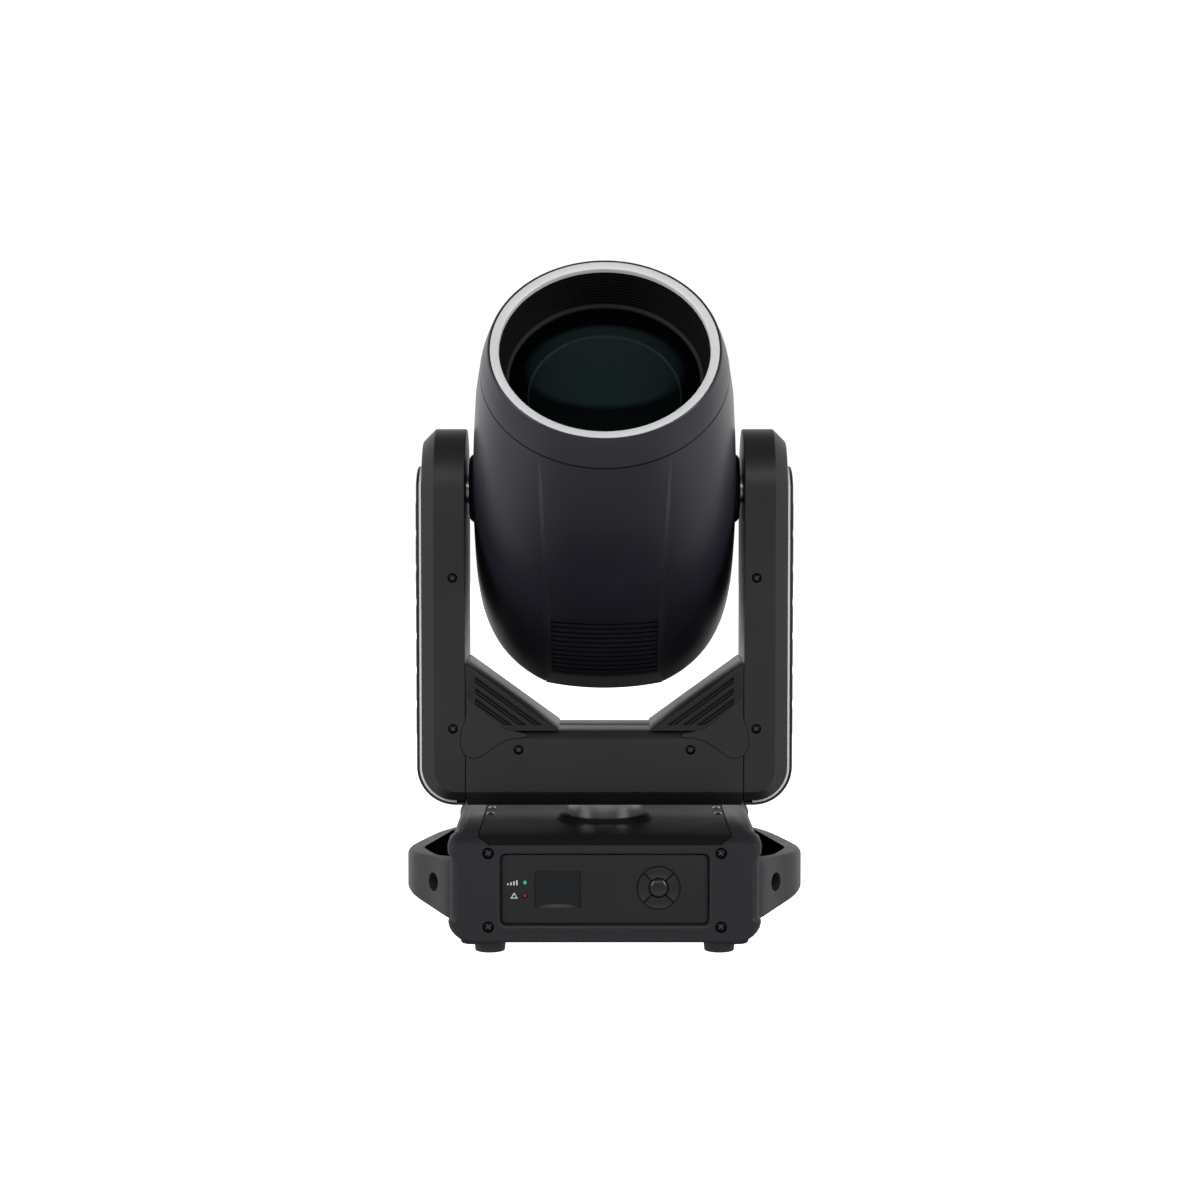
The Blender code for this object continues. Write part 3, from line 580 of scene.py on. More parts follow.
def well(place, direction, radius, depth):
    """The cutter for a round counterbore."""
    return shift(facing(cylinder(radius, -depth, 4, 28), direction), *place)


def finish_of(body, slot, look=None, home=None):
    """The look, body, slot and frame that pieces share, in the order that add takes them."""
    return look or looks[slot], body, slot, home


HEAD_COVER = finish_of("head", "head_cover", home=HEAD)
YOKE_COVER = finish_of("yoke", "yoke_cover")
LOUVRE = finish_of("yoke", "yoke_cover", grille_black)
CASTING = finish_of("base", "base_casting")
TOP_COVER = finish_of("base", "base_cover")
PANEL = finish_of("base", "panel")
CONNECTOR = finish_of("base", "connector")


# --------------------------------------------------------------------- head

shell_low, shell_high = span("head_cover_upper", HEAD)
nose_low, nose_high = span("nose_cover", HEAD)
ring_low, ring_high = span("front_ring", HEAD)
lens_low, lens_high = span("front_lens", HEAD)
HALF_WIDE = shell_high.x
SEAM_Z, TAIL_Z = nose_low.z - 2.5, shell_low.z
SEAM_R, NOSE_Z, RING_R = nose_high.x, nose_high.z, ring_high.x
LENS_R = lens_high.x + 4.2
TAPER_Z = -29.0
TAPER_END = TAIL_Z - 3.0
HALF_HIGH, SPINE_X = 113.8, 56.0
VENT_TOP, VENT_END = -42.0, -135.0
SKIN, SPLIT = 3.0, 0.25
CHEEK_X, CHEEK_POINTS, FLANK_SHARES = SPINE_X + 1.4, 26, (0, 0.15, 0.85, 1)
BODY_STATIONS = (160, 150, 140, 128, 116, 104, 92, 80, 68, 56, 44, 32, 20, 10, 0, -10, -20, -30)
TAIL_STATIONS = (-141, -147, -153, -158, -163, -167, -170, -172.5)
VENT_FINS = 12
AXLE_HOLE_R, FAN_BORE = 14.4, 45.0


def half_width(z):
    """Half of the head's width, which closes in a rounded taper towards the tail."""
    if z <= TAPER_Z:
        share = (TAPER_Z - z) / (TAPER_Z - TAPER_END)
        return HALF_WIDE * (1 - share ** 4) ** 0.25
    return between(z, (SEAM_Z, SEAM_R), (130, 113.0), (80, 116.5), (20, HALF_WIDE))


def half_height(z):
    """Half of the head's height beside the flat band."""
    late = max(0.0, (TAPER_Z - z) / (TAPER_Z - TAPER_END))
    return between(z, (SEAM_Z, SEAM_R), (-30, HALF_HIGH)) * (1 - 0.05 * late ** 6)


def crown(z):
    """Height of the flat band that runs along the head's top and underside."""
    return between(z, (SEAM_Z, SEAM_R), (130, 112.0), (90, 115.6), (50, 118.0), (10, 119.0),
                   (-30, 119.2), (-80, 118.4), (VENT_END - 2, 116.3), (TAIL_Z, 103.5))


def band_edge(z):
    """Half width of the flat band, inside its sloping flanks."""
    flank = between(z, (SEAM_Z, 0.6), (60, 4.5), (VENT_TOP, 7.2), (VENT_END, 7.2), (TAIL_Z, 0.6))
    return SPINE_X - flank


def band_height(x, z):
    """Height of the slightly crowned flat band."""
    radius = between(z, (SEAM_Z, SEAM_R), (40, 175.0), (VENT_TOP, 400.0), (VENT_END, 260.0),
                     (TAIL_Z, 230.0))
    return crown(z) - radius + math.sqrt(radius ** 2 - x ** 2)


def cheek_height(x, z):
    """Height of the rounded cheeks, fuller towards the tail."""
    power = between(z, (SEAM_Z, 2.0), (-30, 3.14))
    return half_height(z) * (1 - min(1.0, abs(x) / half_width(z)) ** power) ** (1 / power)


def half_section(z, inset=0.0):
    """Half of the head's outline at z, from +X over the crown to -X, at y > 0."""
    wide, flat = half_width(z), band_edge(z)
    xs = [wide * math.cos(math.pi / 2 * share) for share in in_steps(160)]
    cheek = [(x, cheek_height(x, z)) for x in xs if x > CHEEK_X]
    side = evenly([(wide, SPLIT), *cheek[1:], (CHEEK_X, cheek_height(CHEEK_X, z))], CHEEK_POINTS)
    foot, top = (SPINE_X, cheek_height(SPINE_X, z)), (flat, band_height(flat, z))
    flank = [tuple(Vector(foot).lerp(Vector(top), share)) for share in FLANK_SHARES]
    across = [(flat - 1.0) * (1 - share) for share in in_steps(12)]
    band = [(x, band_height(x, z)) for x in across]
    points = side + flank + band
    if inset:
        points = offset_inward(points, inset)
    return points + [(-x, y) for x, y in points[-2::-1]]


def offset_inward(points, distance):
    """Move a half outline towards the lens axis, square to itself."""
    made = []
    for i, point in enumerate(points):
        before, after = points[max(i - 1, 0)], points[min(i + 1, len(points) - 1)]
        along = (Vector(after) - Vector(before)).normalized()
        inward = Vector((-along.y, along.x))
        if inward.dot(Vector(point)) > 0:
            inward = -inward
        moved = Vector(point) + inward * distance
        made.append((moved.x if i < len(points) - 1 else 0.0, max(moved.y, SPLIT)))
    return made


def head_stations():
    """Stations along the lens axis with how far each is drawn in to round the two ends."""
    beside_vent = [VENT_TOP - 8.5 * i for i in range(1, 11)]
    level = [SEAM_Z - 1.1, *BODY_STATIONS, VENT_TOP + 1.2, VENT_TOP, *beside_vent, VENT_END,
             VENT_END - 1.4, *TAIL_STATIONS, TAIL_Z + 2.0]
    return [(SEAM_Z - 0.9, 0.15), *[(z, 0.0) for z in level], (TAIL_Z + 0.7, 0.5), (TAIL_Z, 1.6)]


def head_shell(name, up):
    """Half of the head's moulded cover, with its flat band and the opening for the vent."""
    stations = head_stations()
    outer = [[(x, y * up, z) for x, y in half_section(z, drawn)] for z, drawn in stations]
    inner = [[(x, y * up, z) for x, y in half_section(z, SKIN + drawn)] for z, drawn in stations]
    columns = len(outer[0])
    first = CHEEK_POINTS + len(FLANK_SHARES) - 1

    def is_open(row, column):
        in_row = VENT_END - 0.01 <= stations[row + 1][0] and stations[row][0] <= VENT_TOP + 0.01
        return in_row and first <= column < columns - 1 - first
    made = thick_grid(outer, inner, is_open)
    stands_for = ("head_cover_upper",) if up > 0 else ("head_cover_lower",)
    return add(name, made, *HEAD_COVER, stands_for, 24)


def on_band(x, z, up, lift):
    """A point on the flat band, or lifted off it."""
    return (x, (band_height(x, z) + lift) * up, z)


def head_vent(name, up):
    """Twelve curved louvres with a dark backing, sunk into the band."""
    across = [2 * share - 1 for share in in_steps(16)]
    pitch = (VENT_TOP - VENT_END) / VENT_FINS
    fin = ((-0.5, 0.0), (-0.7, -5.0), (-4.4, -6.9), (-4.4, -1.9))
    shapes = []
    for k in range(VENT_FINS):
        top = VENT_TOP - 0.4 - k * pitch
        half = band_edge(top) - 0.5
        shapes.append(loft([[on_band(half * share, top, up, dy)[:2] + (top + dz,)
                             for dy, dz in fin] for share in across]))
    xs = [band_edge(VENT_TOP) * share for share in across]
    edges = ((VENT_TOP + 4, -7.0), (VENT_END - 4, -7.0), (VENT_END - 4, -9.0), (VENT_TOP + 4, -9.0))
    shapes.append(loft([[on_band(x, z, up, lift) for z, lift in edges] for x in xs]))
    add(name, together(shapes), *HEAD_COVER)


def head_inlay(name, up):
    """A thin plate with round corners on the band, beside the vent."""
    half, top, low, corner, lift = 42.3, 18.0, -39.0, 7.0, 0.45
    rises = [corner * math.cos(math.pi / 2 * share) for share in in_steps(6)]
    zs = {top - corner + rise for rise in rises} | {low + corner - rise for rise in rises}

    def reach(z):
        into = max(z - (top - corner), (low + corner) - z, 0.0)
        return half - corner + math.sqrt(max(corner ** 2 - into ** 2, 0.0))
    rows = [[(reach(z) * (2 * share - 1), z) for share in in_steps(16)]
            for z in sorted(zs, reverse=True)]
    outer = [[on_band(x, z, up, lift) for x, z in row] for row in rows]
    inner = [[on_band(x, z, up, -1.0) for x, z in row] for row in rows]
    add(name, thick_grid(outer, inner), *HEAD_COVER)


def tail_wall():
    """Rear wall with a round fan opening, two blocks of air slots, and its screws."""
    back, front = TAIL_Z + 1.5, TAIL_Z + 5.0
    upper = [(x * 0.985, y * 0.975) for x, y in half_section(TAIL_Z + 3)]
    outline = upper + [(x, -y) for x, y in upper[::-1]]
    wall = add("tail_wall", prism(outline, back, front), *HEAD_COVER)
    slots = [shift(prism(rounded(rectangle(27, -1.7, 1.7), 1.6), back - 3, front + 3), y=y)
             for side in (-1, 1) for y in [side * (54 + 7.2 * i) for i in range(6)]]
    carve(wall, together([cylinder(FAN_BORE, back - 3, front + 3, 72)] + slots))
    fan_guard(back)
    turned_back = HEAD.to_3x3() @ Vector((0, 0, -1))
    corners = [(x, y) for x in (-44, 44) for y in (-46, 46)]
    for i, (x, y) in enumerate(corners):
        place = HEAD @ Vector((x * MM, y * MM, back * MM)) / MM
        screw(f"tail_screw_{i}", place, turned_back, 3.2, "head", "head_cover", screw_black)


def fan_guard(back):
    """Six rings and four spokes over the fan's opening."""
    rings = []
    for i in range(6):
        middle = 5.0 + 8.4 * i
        rings.append(turned([(middle - 1.1, back + 0.3), (middle, back - 0.5),
                             (middle + 1.1, back + 0.3), (middle + 1.1, back + 1.8),
                             (middle - 1.1, back + 1.8)], 72))
    for i in range(4):
        spoke = prism(rectangle(1.3, 3, FAN_BORE + 3), back + 0.6, back + 2.6)
        rings.append(turn(spoke, 90 * i + 45, "Z"))
    rings.append(turned([(0, back - 0.6), (7, back - 0.2), (8, back + 0.8), (8, back + 2.4),
                         (0, back + 2.4)], 40))
    add("fan_guard", together(rings), looks["motor_black"], "head", "motor_black", HEAD)


def head_front():
    """Nose cover, bright ring, ribbed hood and the domed front lens."""
    rim, back, inner = RING_R + 0.3, ring_low.z, RING_R - 7.9
    nose = [(SEAM_R - 4, SEAM_Z + 0.9), (SEAM_R - 0.15, SEAM_Z + 0.9), (SEAM_R, SEAM_Z + 1.1),
            (106.6, 176), (104.6, 184), (102.2, 191.5), (100.9, NOSE_Z - 1.8),
            (100.3, NOSE_Z - 0.5), (99.6, NOSE_Z), (rim, NOSE_Z - 0.2), (rim, NOSE_Z - 8)]
    add("nose_shell", turned(nose, 160), *HEAD_COVER, ("nose_cover",))
    bright = [(inner, back), (RING_R, back), (RING_R, NOSE_Z - 1.0), (RING_R - 0.5, NOSE_Z - 0.3),
              (RING_R - 1.4, NOSE_Z), (inner + 1.2, NOSE_Z - 0.6), (inner + 0.3, NOSE_Z - 1.2),
              (inner, NOSE_Z - 2.2)]
    add("bright_ring", turned(bright, 160), looks["silver_ring"], "head", "silver_ring", HEAD,
        ("front_ring",))
    hood(inner, back - 0.3)
    front_lens()


def hood(inner, hood_top):
    """Funnel between the ring and the lens, with eleven steps that stop stray light."""
    ribs, hood_low = 11, lens_low.z + 15.5
    profile = [(RING_R - 3, hood_top)]
    for i in range(ribs):
        share, following = i / ribs, (i + 1) / ribs
        high = hood_top + (hood_low - hood_top) * share
        low = hood_top + (hood_low - hood_top) * following
        radius = inner + (LENS_R + 1.2 - inner) * share
        profile += [(radius, high), (radius, high - 1.0), (radius + 1.5, high - 1.6),
                    (radius + 1.5, low + 0.4)]
    profile += [(LENS_R + 0.3, hood_low), (LENS_R + 0.3, lens_low.z + 4),
                (LENS_R + 5, lens_low.z + 4)]
    add("ribbed_hood", turned(profile[::-1], 128), looks["hood_black"], "head", "hood_black",
        HEAD, ("lens_hood",))


def front_lens():
    """The domed front lens in its black gasket."""
    edge, peak = lens_low.z + 12.5, lens_high.z + 14
    rise = peak - edge
    bend = (LENS_R ** 2 + rise ** 2) / (2 * rise)
    dome = [(0, peak)]
    for share in in_steps(26)[1:]:
        radius = LENS_R * share
        dome.append((radius, peak - bend + math.sqrt(bend ** 2 - radius ** 2)))
    add("lens_dome", turned(dome + [(LENS_R, lens_low.z), (0, lens_low.z)], 128),
        looks["lens_glass"], "head", "lens_glass", HEAD, ("front_lens",))
    seat = [(LENS_R - 2.6, edge + 0.6), (LENS_R + 0.2, edge + 0.2), (LENS_R + 0.2, edge + 3.2),
            (LENS_R - 1.8, edge + 2.6)]
    add("lens_gasket", turned(seat, 128), looks["belt_rubber"], "head", "hood_black", HEAD)


def tilt_boss(side):
    """Raised round boss on the head's cheek, where the tilt axle comes out."""
    bore, reach = 14.2, HALF_WIDE + 3.1
    profile = [(bore, HALF_WIDE - 8), (31.5, HALF_WIDE - 8), (31.5, HALF_WIDE - 0.6),
               (29.6, reach - 1.2), (28.0, reach - 0.1), (27.4, reach), (bore + 0.8, reach),
               (bore, reach - 0.8)]
    made = turn(turned(profile, 64), 90, "Y")
    add(f"tilt_boss_{hand(side)}", sided(made, side), *HEAD_COVER)


def build_head():
    """Both shells with their vents and inlays, the tail, the front and the axle bosses."""
    for name, up in (("upper", 1), ("lower", -1)):
        shell = head_shell(f"head_shell_{name}", up)
        carve(shell, turn(cylinder(AXLE_HOLE_R, -140, 140, 48), 90, "Y"), sharp=24)
        head_vent(f"head_vent_{name}", up)
        head_inlay(f"head_inlay_{name}", up)
    tail_wall()
    head_front()
    for side in (-1, 1):
        tilt_boss(side)
    seal = [(SEAM_R - 7, SEAM_Z - 4), (SEAM_R - 1.6, SEAM_Z - 4), (SEAM_R - 1.6, SEAM_Z + 4),
            (SEAM_R - 7, SEAM_Z + 4)]
    add("seam_seal", turned(seal, 96), looks["belt_rubber"], "head", "head_cover", HEAD)


# --------------------------------------------------------------------- yoke

arm_box_low, arm_box_high = span("arm_cover_right")
beam_low, beam_high = span("beam_cover_rear")
trim_high, side_high = span("arm_trim_right")[1], span("arm_side_cover_right")[1]
gusset_low, gusset_high = span("gusset_cover_right")
ARM_IN, ARM_OUT, YOKE_Y = arm_box_low.x, arm_box_high.x, arm_box_high.y
CORNER_X, CORNER_Z, CORNER_R = 135.0, 146.0, 30.2
CREASE_X = ARM_OUT - 11.5
CREASE_SWELL, OUTER_SWELL = 2.9, 3.1    # how much the two edges of the flank widen at the foot
BEAM_BORE = 38.0
YOKE_SCREWS = ((136.7, 317.9), (136.6, 181.7), (77.5, 162.7))
WELL_R, WELL_DEEP = 4.5, 2.5
BAND_ROUND = 22.0                       # how far the strip's corners drop at its round top
BAR_TOP, BAR_HIGH, BAR_HALF, BAR_PITCH, BAR_COUNT = 386.0, 27.5, 31.0, 31.0, 7
LOUVRES = (226.4, 216.4, 207.0)         # heights of the slots at their outer ends
LOUVRE_SLOPE = (gusset_high.z - beam_high.z) / (gusset_high.x - gusset_low.x)


def crease_radius(angle, inset):
    """Radius of the line round the arm's foot where its face turns into the flank."""
    return CREASE_X - CORNER_X + CREASE_SWELL * math.sin(angle) ** 2 - inset * 0.6


def arm_section(x, inset=0.0, drawn=0.0):
    """Side outline of the arm at x: round top, straight sides, sloped and rounded foot."""
    reach = CORNER_R - inset
    aside = max(x - CORNER_X, 0.0)
    first = max(0.0, (aside - crease_radius(0, inset)) / (reach - crease_radius(0, inset)))
    face = YOKE_Y - inset - drawn

    def depth(share, angle):
        outer = ARM_OUT - CREASE_X - OUTER_SWELL * math.sin(angle) ** 2
        return face - outer * min(share, 1.0)
    foot = []
    for step in (0.0, 0.1, 0.5, 0.9, 1.0):
        share = first + (1 - first) * step
        angle = math.pi / 2 if aside == 0 else math.atan2(reach, aside)
        for _ in range(30):
            crease = crease_radius(angle, inset)
            radius = crease + share * (reach - crease)
            drop = math.sqrt(max(radius ** 2 - aside ** 2, 0.0))
            angle = math.pi / 2 if aside == 0 else math.atan2(drop, aside)
        foot.append((depth(share, angle), CORNER_Z - drop + drawn * step))
    half = depth(first, 0.0)
    steps = 40
    top = [(half * math.cos(math.pi * i / steps), TILT_Z + half * math.sin(math.pi * i / steps))
           for i in range(steps + 1)]
    above = CORNER_Z + 20
    outline = foot[::-1] + [(half, above)] + top + [(-half, above)] + [(-y, z) for y, z in foot]
    return [(x, y, z) for y, z in outline]


def lobe_outline(gap=0.0):
    """Outline, in X and Z, of the corner cover's lobe on the yoke's face."""
    curve = curve_through([(124.3, 214), (124.5, 194), (128.6, 181), (129.7, 168), (126, 158.6),
                           (118.5, 155), (110.4, 157.3), (101.4, 163.6), (91.4, 169.9),
                           (81.5, 173.0), (70, 173.8)], 5)
    points = curve + [(70, 177), (90.5, 181.7), (122, 206)]
    if not gap:
        return points
    middle = Vector((108, 180))
    grown = []
    for i, point in enumerate(points):
        before, after = points[i - 1], points[(i + 1) % len(points)]
        along = (Vector(after) - Vector(before)).normalized()
        out = Vector((along.y, -along.x))
        if out.dot(Vector(point) - middle) < 0:
            out = -out
        grown.append(tuple(Vector(point) + out * gap))
    return grown


def lobe_tools(side):
    """Cutters that sink the lobe into the front and rear faces."""
    shapes = []
    for y in (-YOKE_Y, YOKE_Y):
        deep = sorted((y - math.copysign(2.2, y), y + math.copysign(3, y)))
        shapes.append(prism([(x * side, z) for x, z in lobe_outline(0.4)], *deep, "y"))
    return together(shapes)


def face_wells(places):
    """Counterbores for screws in both faces of the yoke."""
    return together([well((x, y, z), (0, math.copysign(1, y), 0), WELL_R, WELL_DEEP)
                     for x, z in places for y in (-YOKE_Y, YOKE_Y)])


def arm_shell(side):
    """The arm's moulded cover, open towards the head's side."""
    outside = [(ARM_IN, 0.6), (ARM_IN + 0.6, 0.0), (130, 0), (CORNER_X, 0), (139, 0), (143, 0),
               (147, 0), (150.5, 0), (CREASE_X - 0.9, 0.0), (CREASE_X, 0.12), (155, 0.1),
               (157, 0), (159.5, 0), (162, 0), (163.6, 0), (164.5, 0.1), (ARM_OUT - 0.05, 0.5)]
    inside = [(ARM_IN, 0), (130, 0), (CORNER_X, 0), (143, 0), (150, 0), (156, 0), (161.5, 0)]
    rings = [arm_section(x, SKIN) for x, _ in inside[::-1]]
    rings += [arm_section(x, 0.0, drawn) for x, drawn in outside]
    name = hand(side)
    shell = add(f"arm_shell_{name}", sided(loft(rings), side), *YOKE_COVER,
                (f"arm_cover_{name}",), 26)
    carve(shell, lobe_tools(side), sharp=26)
    carve(shell, face_wells([(x * side, z) for x, z in YOKE_SCREWS[:2]]), sharp=26)


def arm_band(offset, top, ends_at):
    """Path, in X and Z, down the arm's outer side and round its bottom corner."""
    radius = CORNER_R + offset
    turns = [math.radians(90 * i / 28) for i in range(29)]
    corner = [(CORNER_X + radius * math.cos(a), CORNER_Z - radius * math.sin(a)) for a in turns]
    return [(CORNER_X + radius, top)] + corner + [(ends_at, CORNER_Z - radius)]


def band_piece(name, inner, outer, half, top, ends_at, side, slot, stands_for):
    """A strip that follows the arm's outer side, with a round top end."""
    inside, outside = arm_band(inner, top, ends_at), arm_band(outer, top, ends_at)
    ys = [half * math.sin(math.pi / 2 * i / 8) for i in range(-8, 9)]

    def lowered(path, y):
        drop = BAND_ROUND * (1 - math.sqrt(1 - (y / half) ** 2 * 0.999))
        return [(path[0][0], y, path[0][1] - drop)] + [(x, y, z) for x, z in path[1:]]
    outer_rows = [lowered(outside, y) for y in ys]
    inner_rows = [lowered(inside, y) for y in ys]
    made = sided(thick_grid(outer_rows, inner_rows), side)
    return add(name, made, looks[slot], "yoke", slot, None, stands_for)


def arm_side(side):
    """Pale trim strip, outer cover and the raised bars on it."""
    name = hand(side)
    half = trim_high.y
    band_piece(f"trim_strip_{name}", 0.3, 2.1, half, trim_high.z, CORNER_X - 1, side,
               "silver_trim", (f"arm_trim_{name}",))
    cover = band_piece(f"side_shell_{name}", 2.3, 4.8, half - 0.6, side_high.z - 0.6,
                       ARM_IN + 0.4, side, "yoke_cover", (f"arm_side_cover_{name}",))
    soften(cover, 0.7)
    outer = side_high.x
    bars = []
    for i in range(BAR_COUNT):
        top = BAR_TOP - i * BAR_PITCH
        outline = rounded(rectangle(BAR_HALF, top - BAR_HIGH, top), 5)
        drawn = rounded(rectangle(BAR_HALF - 0.8, top - BAR_HIGH + 0.8, top - 0.8), 4.6)
        bars.append(loft([[(outer - 0.4, y, z) for y, z in outline],
                          [(outer + 0.35, y, z) for y, z in outline],
                          [(outer + 1.1, y, z) for y, z in drawn]]))
    add(f"side_bars_{name}", sided(together(bars), side), *YOKE_COVER)


def beam_shell(name, front):
    """Half of the cross beam's skin, with its sloped lower edge and small top chamfer."""
    face, wall, half = beam_high.y, 3.0, beam_high.x
    low, high = beam_low.z - 2.0, beam_high.z
    outside = [(0.2, low), (face - 13, low), (face, low + 13.4), (face, high - 6.9),
               (face - 7, high), (0.2, high)]
    inside = [(0.2, high - wall), (face - 8.2, high - wall), (face - wall, high - 8.1),
              (face - wall, low + 14.6), (face - 14.3, low + wall), (0.2, low + wall)]
    made = prism([(y * front, z) for y, z in outside + inside], -half, half, "x")
    shell = add(name, made, *YOKE_COVER,
                ("beam_cover_front",) if front < 0 else ("beam_cover_rear",))
    soften(shell, 0.7)
    carve(shell, cylinder(BEAM_BORE, low - 3, low + 8, 64), sharp=26)
    for side in (-1, 1):
        carve(shell, lobe_tools(side), sharp=26)
    carve(shell, face_wells([(x * side, z) for x, z in YOKE_SCREWS[2:] for side in (-1, 1)]),
          sharp=26)


def sloping_bars(side, left, tip, half, level, deep, radius=0.0):
    """Three bars parallel to the cover's slope, their lower ends cut level or upright."""
    shapes = []
    for middle in LOUVRES:
        foot = left - (middle - tip) / LOUVRE_SLOPE
        low_end = [(foot, tip + half), (foot, tip - half)]
        if level:
            low_end = [(foot - half / LOUVRE_SLOPE, tip), (foot + half / LOUVRE_SLOPE, tip)]
        outline = [(left, middle + half), *low_end, (left, middle - half)]
        if radius:
            outline = rounded(outline, radius, 4)
        shapes.append(prism([(x * side, z) for x, z in outline], *sorted(deep), "y"))
    return shapes


def louvre_slots(y, side):
    """Cutters for three sloping slots in a corner cover's face at y."""
    inward = math.copysign(1, -y)
    deep = (y - inward * 2, y + inward * 6)
    return together(sloping_bars(side, 116.5, 185.0, 2.75, True, deep, 2.2))


def louvre_slats(y, side):
    """One thin slat down the middle of each slot, set back from the face."""
    inward = math.copysign(1, -y)
    return sloping_bars(side, 117.5, 184.0, 0.75, False, (y + inward * 2.0, y + inward * 5))


def corner_cover(side):
    """Sloping cover between beam and arm, with louvres and a lobe on both faces."""
    near, far = gusset_low.x, gusset_high.x
    low, high = gusset_low.z, gusset_high.z
    half = YOKE_Y - 0.9
    made = prism([(near, low), (far, low), (far, high)], -half, half, "y")
    name = hand(side)
    cover = add(f"corner_cover_{name}", sided(made, side), *LOUVRE, (f"gusset_cover_{name}",))
    soften(cover, 0.9)
    for y in (-half, half):
        carve(cover, louvre_slots(y, side), sharp=26)
    extra = louvre_slats(-half, side) + louvre_slats(half, side)
    add(f"corner_slats_{name}", together(extra), *LOUVRE)
    lobes = []
    for y in (-YOKE_Y, YOKE_Y):
        deep = sorted((y - math.copysign(6, y), y))
        lobes.append(prism([(x * side, z) for x, z in lobe_outline()], *deep, "y"))
    lobe = add(f"corner_lobe_{name}", together(lobes), *YOKE_COVER)
    soften(lobe, 0.35, 1)


def build_yoke():
    """Both arms, the corner covers, the beam and their screws."""
    for side in (-1, 1):
        arm_shell(side)
        arm_side(side)
        corner_cover(side)
    beam_shell("beam_shell_front", -1)
    beam_shell("beam_shell_rear", 1)
    places = [(x * side, z, face) for x, z in YOKE_SCREWS for side in (-1, 1) for face in (-1, 1)]
    for index, (x, z, face) in enumerate(places):
        screw(f"yoke_screw_{index}", (x, YOKE_Y * face, z), (0, face, 0), 4.2, "yoke",
              "yoke_cover", screw_black, 1.6)


# --------------------------------------------------------------------- base

base_low, base_high = span("base_housing")
lid_low, lid_high = span("top_cover_front")
panel_low, panel_high = span("control_panel")
rear_low, rear_high = span("rear_panel")
BASE_X, BASE_Y, BASE_TOP = base_high.x, base_high.y, base_high.z
LID_X, LID_LIP = lid_high.x, lid_low.z
LID_SPLIT, LID_GAP = lid_high.y, 0.6
WAIST_X = BASE_X - 2.2
WALL = 8.0
PANEL_Y = panel_low.y
PLATE_X, PLATE_LOW, PLATE_HIGH = panel_high.x + 3.0, panel_low.z - 3.9, panel_high.z + 2.1
MITRE_X, MITRE_Y = 100.6, 8.0
CORNER_NOTCH, KEYS_R = 52.0, 18.3
EYE_R, EYE_TURN = 8.4, 58               # the round hole through the handle's front limb
FRONT, REAR = -1, 1
RAIL_X, RAIL_ZS = 102.2, (14.7, 79.9)   # screws at the corners of the front and rear faces
SLOT_X, SLOT_HALF, SLOT_PITCH = 14.0, 14.0, 7.5
FUSE_X, FUSE_Z = 92, 48


def lid_plan(gap):
    """Plan of both lids together: straight sides with mitred corners at front and rear."""
    edge = BASE_Y + gap
    return four_fold([(LID_X + gap, edge - MITRE_Y), (MITRE_X + gap, edge)])


def base_plan(bulge, inset_x, inset_y):
    """Outline of the housing, with its four corners swelling sideways by the given share."""
    ear_x = WAIST_X + (BASE_X - WAIST_X) * bulge - inset_x
    waist, edge, radius = WAIST_X - inset_x, BASE_Y - 0.4 - inset_y, 9.0
    quarter = [(waist, 10), (waist, 50), (waist, 88), (waist + (ear_x - waist) * 0.5, 90.5),
               (ear_x, 93), (ear_x, 104)]
    for share in in_steps(8):
        angle = math.pi / 2 * share
        quarter.append((ear_x - radius + radius * math.cos(angle),
                        edge - radius + radius * math.sin(angle)))
    return four_fold(quarter + [(x, edge) for x in (112, 80, 40, 10)])


def base_shell():
    """Housing with swollen corners, a sunk frame round the panel, and the lids' seat."""
    stations = [(0, 1, 15.5, 4.6), (0.8, 1, 13.2, 2.2), (2.4, 1, 10.6, 0.8), (5.2, 1, 7.0, 0.1),
                (9, 1, 3.5, 0), (13, 1, 1.2, 0), (17, 1, 0.2, 0), (19, 0.92, 0, 0),
                (20.6, 0.5, 0, 0), (22.2, 0.08, 0, 0), (25, 0, 0, 0), (48, 0, 0, 0),
                (72.5, 0, 0, 0), (75.2, 0.08, 0, 0), (77, 0.5, 0, 0), (78.8, 0.92, 0, 0),
                (82, 1, 0, 0), (86, 1, 0, 0), (LID_LIP + 0.3, 1, 0.2, 0.1),
                (LID_LIP + 1.3, 1, 0.6, 0.9), (90.6, 1, 1.4, 3.2), (92.6, 1, 3.4, 6.0),
                (93.5, 1, 5.0, 7.4), (BASE_TOP, 1, 7.2, 9.0)]
    rings = [[(x, y, base_low.z + z) for x, y in base_plan(bulge, inset_x, inset_y)]
             for z, bulge, inset_x, inset_y in stations]
    shell = add("base_shell", loft(rings), *CASTING, ("base_housing",), 26)
    inner_x, inner_y = WAIST_X - WALL, BASE_Y - WALL
    carve(shell, prism(rectangle(inner_x, -inner_y, inner_y), 6, BASE_TOP - 4), sharp=26)
    notch_x, notch_y = inner_x - CORNER_NOTCH, inner_y - CORNER_NOTCH
    cross = four_fold([(inner_x, notch_y), (notch_x, notch_y), (notch_x, inner_y)])
    carve(shell, prism(cross, -2, 8), sharp=26)
    carve(shell, prism(lid_plan(0.7), LID_LIP - 0.4, BASE_TOP + 3), sharp=26)
    carve(shell, panel_frame(), sharp=26)
    half, low_z, high_z = rear_high.x + 0.3, rear_low.z - 0.3, rear_high.z + 0.3
    carve(shell, prism(rectangle(half, low_z, high_z, 5), inner_y - 2, BASE_Y + 2, "y"), sharp=26)
    return shell


